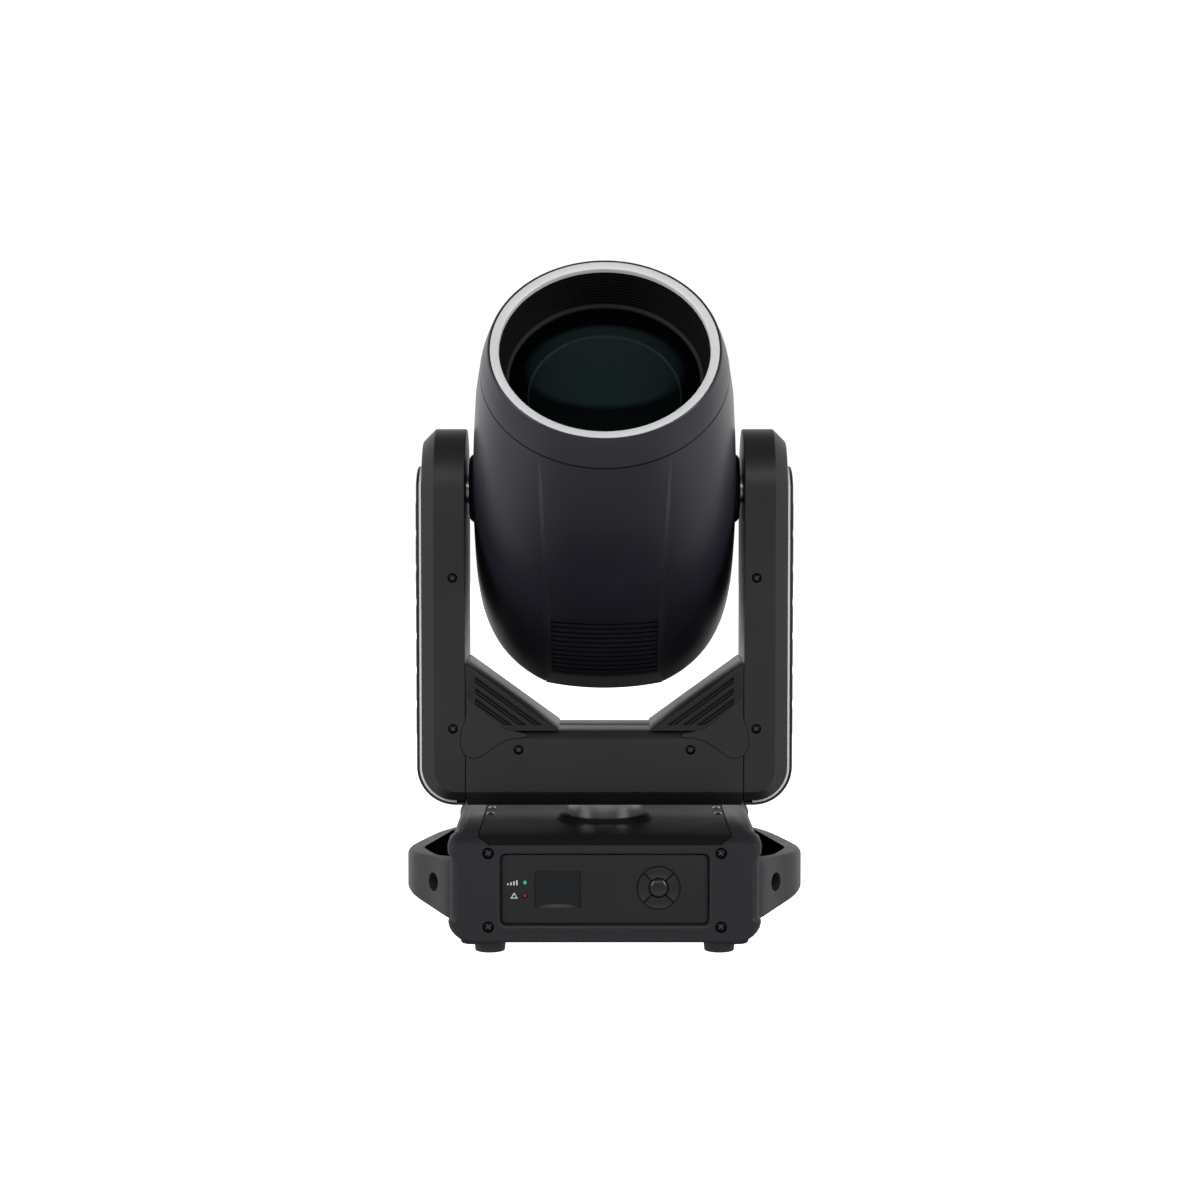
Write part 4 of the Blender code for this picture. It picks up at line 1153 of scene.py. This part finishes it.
def corner_pads():
    """Shallow rounded pads under the housing's four corners."""
    pads = []
    for x, y in ((1, 1), (1, -1), (-1, 1), (-1, -1)):
        rings = []
        for z, inset in ((-2.2, 6.0), (-1.8, 4.0), (-0.9, 1.8), (0.8, 0.3), (4, 0)):
            outline = rectangle(11.5 - inset, 98 + inset, 122.5 - inset, 6.0, 115.5)
            rings.append([(a * x, b * y, z) for a, b in outline])
        pads.append(loft(rings))
    add("corner_pads", together(pads), *CASTING)


def panel_frame():
    """Cutter for the round-cornered frame and the opening behind it."""
    def loop(out, y, radius):
        outline = rounded(rectangle(PLATE_X + out, PLATE_LOW - out, PLATE_HIGH + out), radius, 6)
        return [(x, y, z) for x, z in outline]
    return loft([loop(4.6, -BASE_Y - 2, 8.5), loop(4.0, -BASE_Y + 0.3, 8.0),
                 loop(2.9, -BASE_Y + 0.8, 7.2), loop(1.6, -BASE_Y + 1.3, 6.4),
                 loop(0.6, PANEL_Y + 0.2, 5.4), loop(0.5, -BASE_Y + WALL + 2, 5.4)])


def lid(name, front, back, stands_for):
    """Top cover with a rolled, sloping lip and mitred ends, from 'back' to the given face."""
    edge = BASE_Y - 0.1
    profile = [(back, BASE_TOP), (edge - 30, BASE_TOP), (edge - 9.0, BASE_TOP),
               (edge - 7.4, BASE_TOP - 0.5), (edge - 0.8, BASE_TOP - 5.3), (edge, BASE_TOP - 6.1)]
    across = [x / 8 for x in range(-8, 9)]

    def width(y):
        return between(y, (edge - 9.0, LID_X), (edge, MITRE_X))
    outer = [[(width(y) * x, y * front, z) for x in across] for y, z in profile]
    inner = [[(width(y) * x, min(y, edge - 3.0) * front, min(z - 2.6, BASE_TOP - 3.0))
              for x in across] for y, z in profile]
    cover = add(name, thick_grid(outer, inner), *TOP_COVER, stands_for, 20)
    soften(cover, 0.5, 2, 20)
    carve(cover, cylinder(span("pan_collar")[1].x + 0.5, BASE_TOP - 14, BASE_TOP + 4, 96),
          sharp=20)


def foot(name):
    """Round rubber foot with a stepped rim and a sunk fixing hole."""
    low, high = span(name)
    middle = centre_of(name)
    radius, bottom = (high.x - low.x) / 2, low.z
    profile = [(0, bottom + 4), (3.4, bottom + 4), (3.4, bottom), (radius - 2.2, bottom),
               (radius - 1.2, bottom + 0.4), (radius - 0.9, bottom + 1.4),
               (radius - 0.4, bottom + 6.5), (radius, bottom + 7.2), (radius, high.z),
               (0, high.z)]
    made = shift(turned(profile, 48), middle.x, middle.y)
    add(f"rubber_{name}", made, looks["foot_rubber"], "base", "foot_rubber", None, (name,))


def drawn_in(outline, inset):
    """A closed flat outline with every point moved inwards, square to the outline."""
    count = len(outline)
    area = sum(outline[i - 1][0] * outline[i][1] - outline[i][0] * outline[i - 1][1]
               for i in range(count))
    sign = 1 if area > 0 else -1
    made = []
    for i, point in enumerate(outline):
        along = Vector(outline[(i + 1) % count]) - Vector(outline[i - 1])
        along.normalize()
        made.append((point[0] - along.y * inset * sign, point[1] + along.x * inset * sign))
    return made


def handle(side):
    """Cast loop with well rounded edges, a steep front limb and an eye for a safety cable."""
    name = f"carry_handle_{hand(side)}"
    low, high = span(name)
    reach = max(abs(low.x), abs(high.x))
    root = WAIST_X - 5.0
    outer = [(root, -116), (root + 9, -110), (root + 24, -86), (reach - 8.4, -64),
             (reach - 2.4, -48), (reach, -32), (reach - 0.8, -14), (reach - 4.2, 4),
             (reach - 12.5, 40), (reach - 23, 76), (root + 8, 112), (root, 118)]
    inner = [(root, 84), (root + 9, 62), (reach - 36, 30), (reach - 28, 4), (reach - 22, -16),
             (reach - 20, -32), (reach - 24, -46), (root + 15, -72), (root, -82)]
    outline = curve_through(outer, 5) + curve_through(inner, 5)
    tip_z, under_round, top_round = 34.0, 4.0, 5.0

    def floor_at(x):
        share = min(max((x - root) / (reach - root), 0.0), 1.0)
        return low.z + share ** 1.25 * (tip_z - low.z)
    rings = []
    for share in in_steps(5):
        angle = math.pi / 2 * share
        inset, rise = under_round * (1 - math.sin(angle)), under_round * (1 - math.cos(angle))
        rings.append([(x, y, floor_at(x) + rise) for x, y in drawn_in(outline, inset)])
    for share in in_steps(5):
        angle = math.pi / 2 * share
        inset, drop = top_round * (1 - math.cos(angle)), top_round * (1 - math.sin(angle))
        rings.append([(x, y, high.z - drop) for x, y in drawn_in(outline, inset)])
    eye = turn(turn(cylinder(EYE_R, -30, 30, 40), 90, "X"), EYE_TURN, "Z")
    shift(eye, BASE_X + 17.8, -92, 49)
    piece = add(f"handle_{hand(side)}", sided(loft(rings), side), looks["handle_casting"], "base",
                "handle_casting", None, (name,), 40)
    carve(piece, sided(eye, side), sharp=40)


def column():
    """Polished pan column with its stepped black collar."""
    low, high = span("pan_tube")
    radius, bore = 36.7, 31
    profile = [(bore, low.z + 4), (radius, low.z + 4), (radius, BASE_TOP + 3),
               (radius, high.z - 1), (radius - 1, high.z), (bore, high.z)]
    add("pan_column", turned(profile, 128), looks["polished_metal"], "base", "polished_metal",
        None, ("pan_tube",))
    collar_low, collar_high = span("pan_collar")
    outer, top = collar_high.x, collar_high.z
    ring = [(radius + 0.2, collar_low.z), (outer, collar_low.z), (outer, BASE_TOP + 0.6),
            (outer - 0.6, BASE_TOP + 1.4), (outer - 2.4, top - 0.5), (outer - 3.4, top),
            (radius + 1.4, top), (radius + 0.2, top - 1.0)]
    add("column_collar", turned(ring, 128), *TOP_COVER, ("pan_collar",))


def front_panel():
    """Control panel with its display, status lights and printed pictograms."""
    window_low, window_high = span("display_window")
    key, middle = centre_of("button_enter"), centre_of("display_window").x
    outline = rounded(rectangle(PLATE_X, PLATE_LOW, PLATE_HIGH), 5)
    plate = add("panel_plate", prism(outline, PANEL_Y, PANEL_Y + 3, "y"), *PANEL,
                ("control_panel",))
    soften(plate, 0.5)
    wide = (window_high.x - window_low.x) / 2 + 0.3
    opening = rounded(rectangle(wide, window_low.z - 0.3, window_high.z + 0.3), 0.8)
    pipe_low, pipe_high = span("status_light_pipe")
    light_x = (pipe_low.x + pipe_high.x) / 2
    light_zs = (pipe_high.z - 4.0, pipe_low.z + 4.0)
    holes = [prism([(x + middle, z) for x, z in opening], PANEL_Y - 2, PANEL_Y + 5, "y"),
             on_face(cylinder(KEYS_R + 1.0, -5, 5, 72), key.x, PANEL_Y, key.z)]
    holes += [on_face(cylinder(2.4, -5, 5, 32), light_x, PANEL_Y, z) for z in light_zs]
    carve(plate, together(holes))
    glass = rounded(rectangle(wide - 0.4, window_low.z, window_high.z), 0.8)
    window = prism([(x + middle, z) for x, z in glass], PANEL_Y + 1.6, PANEL_Y + 2.8, "y")
    add("display_glass", window, looks["display_glass"], "base", "display_glass", None,
        ("display_window",))
    display_lip(middle, wide - 0.2, window_low.z)
    well_ring = [(16.0, 4.2), (19.2, 4.2), (19.2, -0.2), (18.9, -0.5), (18.5, -0.2), (18.5, 3.8),
                 (16.0, 3.8)]
    add("key_well", on_face(turned(well_ring, 96), key.x, PANEL_Y, key.z),
        looks["base_cover"], "base", "panel")
    floor_plate = on_face(cylinder(19.2, 3.9, 4.6, 72), key.x, PANEL_Y, key.z)
    add("key_floor", floor_plate, looks["hood_black"], "base", "panel")
    dome = [(0, 0.3), (0.9, 0.2), (1.5, -0.2), (1.7, -0.8), (1.7, -3.0), (0, -3.0)]
    for name, z, look, stands_for in (("signal", light_zs[0], glow_teal, ("status_light_pipe",)),
                                      ("fault", light_zs[1], glow_red, ())):
        made = on_face(turned(dome, 32), light_x, PANEL_Y, z, FRONT)
        add(f"light_{name}", made, look, "base", "light_pipe", None, stands_for)
    pictograms(light_x - 9.5, light_zs)


def display_lip(middle, half, low):
    """The curved scoop along the display's lower edge."""
    rows = []
    for share in [2 * step - 1 for step in in_steps(20)]:
        x = middle + half * 0.92 * share
        rise = 0.3 + 2.6 * (1 - share ** 2) ** 0.6
        rows.append([(x, PANEL_Y + 0.1, low - 0.3), (x, PANEL_Y + 1.55, low - 0.3 + rise),
                     (x, PANEL_Y + 1.9, low - 0.3 + rise), (x, PANEL_Y + 1.9, low - 0.3)])
    add("display_lip", loft(rows), looks["handle_casting"], "base", "panel")


def pictograms(x, zs):
    """Plain printed marks: four rising bars for the signal, a triangle for a fault."""
    front, back = PANEL_Y - 0.12, PANEL_Y + 0.3
    bars = [prism(rectangle(0.65, -2.2, -0.4 + 0.9 * i, 0.3, -5.4 + 2.6 * i), front, back, "y")
            for i in range(4)]
    add("mark_signal", shift(together(bars), x, 0, zs[0]), mark_white, "base", "panel")
    outer = rounded([(-3.4, -2.4), (3.4, -2.4), (0, 3.0)], 0.9)
    inner = [(a * 0.56, b * 0.56 - 0.25) for a, b in outer]
    ring = loft([[(a, front, b) for a, b in outer], [(a, front, b) for a, b in inner],
                 [(a, back, b) for a, b in inner], [(a, back, b) for a, b in outer]], loop=True)
    add("mark_fault", shift(ring, x, 0, zs[1]), mark_white, "base", "panel")


def key_faces(middle, centre, inner, front):
    """Front surface of a curved key, lowest at its rounded rim."""
    rows = []
    for share in in_steps(18):
        row = []
        for radius in [inner + (KEYS_R - inner) * step for step in in_steps(6)]:
            half = math.pi / 4 - 0.55 / radius
            angle = middle + half * (2 * share - 1)
            near_rim = min(radius - inner, KEYS_R - radius) / (KEYS_R - inner)
            edge = min(1.0, 2.4 * min(share, 1 - share) + 0.35)
            side = min(1.0, 2.2 * near_rim + 0.35)
            row.append((centre.x + radius * math.cos(angle), front + 0.9 * (1 - edge * side),
                        centre.z + radius * math.sin(angle)))
        rows.append(row)
    return rows


def keys():
    """A domed centre key and four crowned, curved keys, each on its own body."""
    low, high = span("button_enter")
    centre, radius = centre_of("button_enter"), (high.x - low.x) / 2
    front = span("button_right")[0].y
    for index, name in enumerate(("right", "up", "left", "down")):
        rows = key_faces(index * math.pi / 2, centre, radius + 1.1, front)
        back = [[(x, PANEL_Y + 2.4, z) for x, _, z in row] for row in rows]
        add(f"key_{name}", thick_grid(rows, back), looks["key_plastic"], f"button_{name}",
            "key_plastic", None, (f"button_{name}",), 40)
    lift = PANEL_Y - low.y
    dome = [(0, lift), (radius * 0.4, lift - 0.15), (radius * 0.7, lift - 0.6),
            (radius * 0.9, lift - 1.3), (radius, lift - 2.2), (radius, -2.4), (0, -2.4)]
    made = on_face(turned(dome, 64), centre.x, PANEL_Y, centre.z, FRONT)
    add("key_enter", made, looks["key_plastic"], "button_enter", "key_plastic", None,
        ("button_enter",), 40)


def socket(name, pins):
    """Round signal connector: flange, bored barrel, latch tab and pins or pin holes."""
    low, high = span(name)
    middle, radius, face = centre_of(name), (high.x - low.x) / 2, high.y
    x, z, depth = middle.x, middle.z, 14.0
    barrel = [(0, -depth), (10.0, -depth), (10.0, -0.5), (10.6, 0), (12.6, 0), (radius - 0.8, -0.6),
              (radius, -1.4), (radius, -3.0), (12.0, -3.0), (12.0, -depth - 3), (0, -depth - 3)]
    add(f"{name}_body", on_face(turned(barrel, 64), x, face, z), *CONNECTOR, (name,))
    contacts = []
    for i in range(3):
        angle = math.radians(90 + 120 * i)
        place = (x + 5.0 * math.cos(angle), face, z + 5.0 * math.sin(angle))
        contacts.append(on_face(cylinder(1.15, -depth - 1, -4.0 if pins else -6.0, 16), *place))
    if pins:
        add(f"{name}_pins", together(contacts), looks["polished_metal"], "base", "connector")
    else:
        core = on_face(cylinder(8.2, -depth - 1, -4.5, 48), x, face, z)
        insert = add(f"{name}_insert", core, looks["belt_rubber"], "base", "connector")
        carve(insert, together(contacts))
    tab = prism(rounded(rectangle(3.4, -1.6, 1.6), 0.8), face - 1.4, face, "y")
    add(f"{name}_tab", shift(tab, x, 0, z + 11.6), looks["alloy"], "base", "connector")


def power_inlet():
    """Power inlet with a rounded flange, a keyed recess and three flat contacts."""
    low, high = span("power_inlet")
    x, z = centre_of("power_inlet").xz
    half_x, half_z, face = (high.x - low.x) / 2, (high.z - low.z) / 2, high.y
    outline = rectangle(half_x, -half_z, half_z, 3.0)
    made = prism([(x + a, z + b) for a, b in outline], low.y, face, "y")
    body = add("inlet_body", made, *CONNECTOR, ("power_inlet",))
    soften(body, 0.7)
    inner = rounded([(-half_x + 4, -half_z + 4), (half_x - 4, -half_z + 4),
                     (half_x - 4, half_z - 7), (half_x - 7, half_z - 4),
                     (-half_x + 7, half_z - 4), (-half_x + 4, half_z - 7)], 1.0)
    carve(body, prism([(x + a, z + b) for a, b in inner], face - 17, face + 2, "y"))
    blades = [shift(prism(rectangle(1.1, -3.2, 3.2), face - 18, face - 4, "y"), x + dx, 0, z + dz)
              for dx, dz in ((-6.5, 0.0), (6.5, 0.0), (0.0, 2.2))]
    add("inlet_blades", together(blades), looks["polished_metal"], "base", "connector")


def rear_panel():
    """Rear panel plate with its connectors, a fuse cap and air slots."""
    half, low, high = rear_high.x, rear_low.z, rear_high.z
    plate_y = rear_high.y
    outline = rectangle(half, low, high, 5)
    plate = add("rear_plate", prism(outline, rear_low.y, plate_y, "y"), *PANEL, ("rear_panel",))
    soften(plate, 0.5)
    holes = []
    for name in ("signal_socket_in", "signal_socket_out"):
        middle = centre_of(name)
        holes.append(on_face(cylinder(12.4, -6, 6, 48), middle.x, plate_y, middle.z))
    inlet_low, inlet_high = span("power_inlet")
    outlines = [rectangle((inlet_high.x - inlet_low.x) / 2 + 0.2, inlet_low.z - 0.2,
                          inlet_high.z + 0.2, 0, centre_of("power_inlet").x)]
    for i in range(5):
        bottom = low + 12 + SLOT_PITCH * i
        outlines.append(rectangle(SLOT_HALF, bottom, bottom + 3, 1.4, SLOT_X))
    holes += [prism(outline, plate_y - 6, plate_y + 6, "y") for outline in outlines]
    carve(plate, together(holes))
    fuse = [(0, 4.2), (4.2, 4.2), (5.0, 3.4), (5.4, 0.6), (7.2, 0.4), (7.2, -1.0), (0, -1.0)]
    cap = add("fuse_cap", on_face(turned(fuse, 40), FUSE_X, plate_y, FUSE_Z), *CONNECTOR)
    slot = prism(rectangle(3.6, -0.7, 0.7), plate_y + 3.2, plate_y + 6, "y")
    carve(cap, shift(slot, FUSE_X, 0, FUSE_Z))
    socket("signal_socket_in", True)
    socket("signal_socket_out", False)
    power_inlet()
    corners = [(x, z) for x in (-98, 98) for z in (low + 6, high - 6)]
    for i, (x, z) in enumerate(corners):
        screw(f"rear_screw_{i}", (x, plate_y, z), (0, 1, 0), 3.0, "base", "panel", screw_black)


def base_screws(shell):
    """Black screws at the corners of the front and rear faces, silver ones on the lids."""
    corners = [(x, y, z) for y in (FRONT, REAR) for x in (-RAIL_X, RAIL_X) for z in RAIL_ZS]
    for index, (x, y, z) in enumerate(corners):
        place = (x, (BASE_Y - 0.4) * y, z)
        carve(shell, well(place, (0, y, 0), 5.2, 3.0), sharp=26)
        screw(f"base_screw_{index}", place, (0, y, 0), 4.9, "base", "base_casting",
              screw_black, 1.9)
    tops = [(x, y, BASE_TOP) for x in (-106, 106) for y in (25.0, 64.0)]
    for index, place in enumerate(tops):
        screw(f"lid_screw_{index}", place, (0, 0, 1), 3.6, "base", "base_cover", screw_silver)


def underside():
    """Quarter-turn sockets for a clamp bracket, two on each side of the plate."""
    plate_low = span("base_bottom_plate")[0].z
    profile = [(5.2, -0.2), (13.0, -0.2), (14.0, 0.4), (14.0, 3.2), (5.2, 3.2)]
    places = [(x, y) for x in (-53, 53) for y in (-53, 53)]
    for index, (x, y) in enumerate(places):
        made = shift(turned(profile, 48), x, y, plate_low)
        cup = add(f"clamp_socket_{index}", made, looks["alloy"], "base", "steel_plate")
        carve(cup, shift(prism(rectangle(8.5, -1.6, 1.6), -2, 6), x, y, plate_low))


def build_base():
    """Housing, lids, feet, handles, pan column, both panels and all their screws."""
    shell = base_shell()
    corner_pads()
    lid("lid_front", FRONT, LID_SPLIT, ("top_cover_front",))
    lid("lid_rear", REAR, -LID_SPLIT - LID_GAP, ("top_cover_rear",))
    for name in sorted(frame["nodes"]):
        if name.startswith("foot_"):
            foot(name)
    for side in (-1, 1):
        handle(side)
    column()
    front_panel()
    keys()
    rear_panel()
    base_screws(shell)
    underside()


# -------------------------------------------------------------------- stage

LENS_MM, LOOK_DOWN = 79.92, 3.437
EYE_PLACE = (-0.0041, -2.442, 0.4415)
FLOOR_HALF, FLOOR_GAP = 6, 0.0004


def dress_cad():
    """Give every CAD node that still shows the look of its material slot."""
    slots = {part["node"]: part["material_slot"] for part in frame["record"]["subparts"]}
    for name, node in frame["nodes"].items():
        node.data.materials.clear()
        node.data.materials.append(looks[slots[name]])
        node.data.shade_smooth()
        node.data.set_sharp_from_angle(angle=math.radians(32))


def floor():
    """A plain pale floor under the feet, bright enough to melt into the background."""
    made = bmesh.new()
    corners = rectangle(FLOOR_HALF, -FLOOR_HALF, FLOOR_HALF)
    made.faces.new([made.verts.new((x, y, cad_low.z - FLOOR_GAP)) for x, y in corners])
    mesh = bpy.data.meshes.new("floor")
    made.to_mesh(mesh)
    made.free()
    ground = bpy.data.objects.new("floor", mesh)
    bpy.context.scene.collection.objects.link(ground)
    look, nodes, links, place, shader = tree("pale_floor")
    links.new(spread_colour(nodes, links, noise(nodes, links, place, 4.0), (0.80, 0.80, 0.80),
                            (0.84, 0.84, 0.84)), shader.inputs["Base Color"])
    shader.inputs["Roughness"].default_value = 0.9
    shader.inputs["Emission Color"].default_value = (1, 1, 1, 1)
    shader.inputs["Emission Strength"].default_value = 1.3
    clear = nodes.new("ShaderNodeBsdfTransparent")
    mix = nodes.new("ShaderNodeMixShader")
    links.new(nodes.new("ShaderNodeNewGeometry").outputs["Backfacing"], mix.inputs["Fac"])
    links.new(shader.outputs["BSDF"], mix.inputs[1])
    links.new(clear.outputs["BSDF"], mix.inputs[2])
    links.new(mix.outputs["Shader"], nodes["Material Output"].inputs["Surface"])
    mesh.materials.append(look)
    ground.visible_diffuse = False
    ground.visible_glossy = False


def sky():
    """White for the camera; for everything else a white backdrop behind, darker elsewhere."""
    world = bpy.data.worlds.new("studio")
    bpy.context.scene.world = world
    world.use_nodes = True
    nodes, links = world.node_tree.nodes, world.node_tree.links
    seen = nodes["Background"]
    seen.inputs["Color"].default_value = (1, 1, 1, 1)
    seen.inputs["Strength"].default_value = 1.05
    split = nodes.new("ShaderNodeSeparateXYZ")
    links.new(nodes.new("ShaderNodeTexCoord").outputs["Generated"], split.inputs["Vector"])
    high = grey_ramp(nodes, links, split.outputs["Z"],
                     ((-0.6, 0.5), (0.0, 1.0), (0.45, 0.8), (0.9, 0.18)))
    deep = grey_ramp(nodes, links, split.outputs["Y"],
                     ((-0.9, 0.30), (-0.3, 0.34), (0.25, 0.75), (0.7, 1.0)))
    both = blended(nodes, links, "MULTIPLY", high, deep)
    below = grey_ramp(nodes, links, split.outputs["Y"],
                      ((-0.9, 0.62), (-0.2, 0.45), (0.3, 0.10), (0.8, 0.07)))
    aside = grey_ramp(nodes, links, split.outputs["X"],
                      ((-0.75, 0.62), (-0.3, 0.03), (0.3, 0.03), (0.75, 0.62)))
    ground = blended(nodes, links, "LIGHTEN", below, aside)
    horizon = nodes.new("ShaderNodeMapRange")
    horizon.interpolation_type = "SMOOTHSTEP"
    horizon.inputs["From Min"].default_value = -0.5
    horizon.inputs["From Max"].default_value = -0.1
    links.new(split.outputs["Z"], horizon.inputs["Value"])
    around = blended(nodes, links, "MIX", ground, both, horizon.outputs["Result"])
    soft = nodes.new("ShaderNodeBackground")
    soft.inputs["Strength"].default_value = 1.0
    links.new(around, soft.inputs["Color"])
    ray = nodes.new("ShaderNodeLightPath")
    mix = nodes.new("ShaderNodeMixShader")
    links.new(ray.outputs["Is Camera Ray"], mix.inputs["Fac"])
    links.new(soft.outputs["Background"], mix.inputs[1])
    links.new(seen.outputs["Background"], mix.inputs[2])
    links.new(mix.outputs["Shader"], nodes["World Output"].inputs["Surface"])


def blended(nodes, links, kind, first, second, factor=None):
    """Two colours combined, fully unless a factor is given."""
    made = nodes.new("ShaderNodeMixRGB")
    made.blend_type = kind
    made.inputs["Fac"].default_value = 1.0
    if factor is not None:
        links.new(factor, made.inputs["Fac"])
    links.new(first, made.inputs["Color1"])
    links.new(second, made.inputs["Color2"])
    return made.outputs["Color"]


def grey_ramp(nodes, links, value, stops):
    """Grey levels along a direction's coordinate, which runs from -1 to 1."""
    scale = nodes.new("ShaderNodeMapRange")
    scale.inputs["From Min"].default_value = -1.0
    links.new(value, scale.inputs["Value"])
    ramp = nodes.new("ShaderNodeValToRGB")
    while len(ramp.color_ramp.elements) < len(stops):
        ramp.color_ramp.elements.new(0.5)
    for element, (at, level) in zip(ramp.color_ramp.elements, stops):
        element.position = (at + 1) / 2
        element.color = (level, level, level, 1)
    links.new(scale.outputs["Result"], ramp.inputs["Fac"])
    return ramp.outputs["Color"]


def softbox(name, place, aim, size, power):
    """A rectangular area light turned towards a point."""
    light = bpy.data.lights.new(name, "AREA")
    light.shape = "RECTANGLE"
    light.size, light.size_y = size
    light.energy = power
    lamp = bpy.data.objects.new(name, light)
    bpy.context.scene.collection.objects.link(lamp)
    lamp.location = place
    lamp.rotation_euler = (Vector(aim) - Vector(place)).to_track_quat("-Z", "Y").to_euler()


def camera():
    """Long lens at about the height of the head, looking slightly down."""
    data = bpy.data.cameras.new("camera")
    data.lens, data.sensor_width = LENS_MM, 36.0
    data.clip_end = 50.0
    eye = bpy.data.objects.new("camera", data)
    bpy.context.scene.collection.objects.link(eye)
    eye.location = EYE_PLACE
    eye.rotation_euler = (math.radians(90 - LOOK_DOWN), 0, 0)
    bpy.context.scene.camera = eye


def stage():
    """Floor, surroundings, lights and camera."""
    floor()
    sky()
    centre = (0, 0, 0.3)
    softbox("left_box", (-1.9, -1.3, 1.3), centre, (1.2, 1.8), 24)
    softbox("right_box", (1.9, -1.3, 1.3), centre, (1.2, 1.8), 24)
    softbox("front_box", (0, -2.6, 1.7), centre, (1.6, 1.0), 10)
    camera()
    settings = bpy.context.scene.view_settings
    settings.view_transform = "Standard"
    settings.look = "None"
    settings.exposure = 0.0


build_head()
build_yoke()
build_base()
dress_cad()
stage()
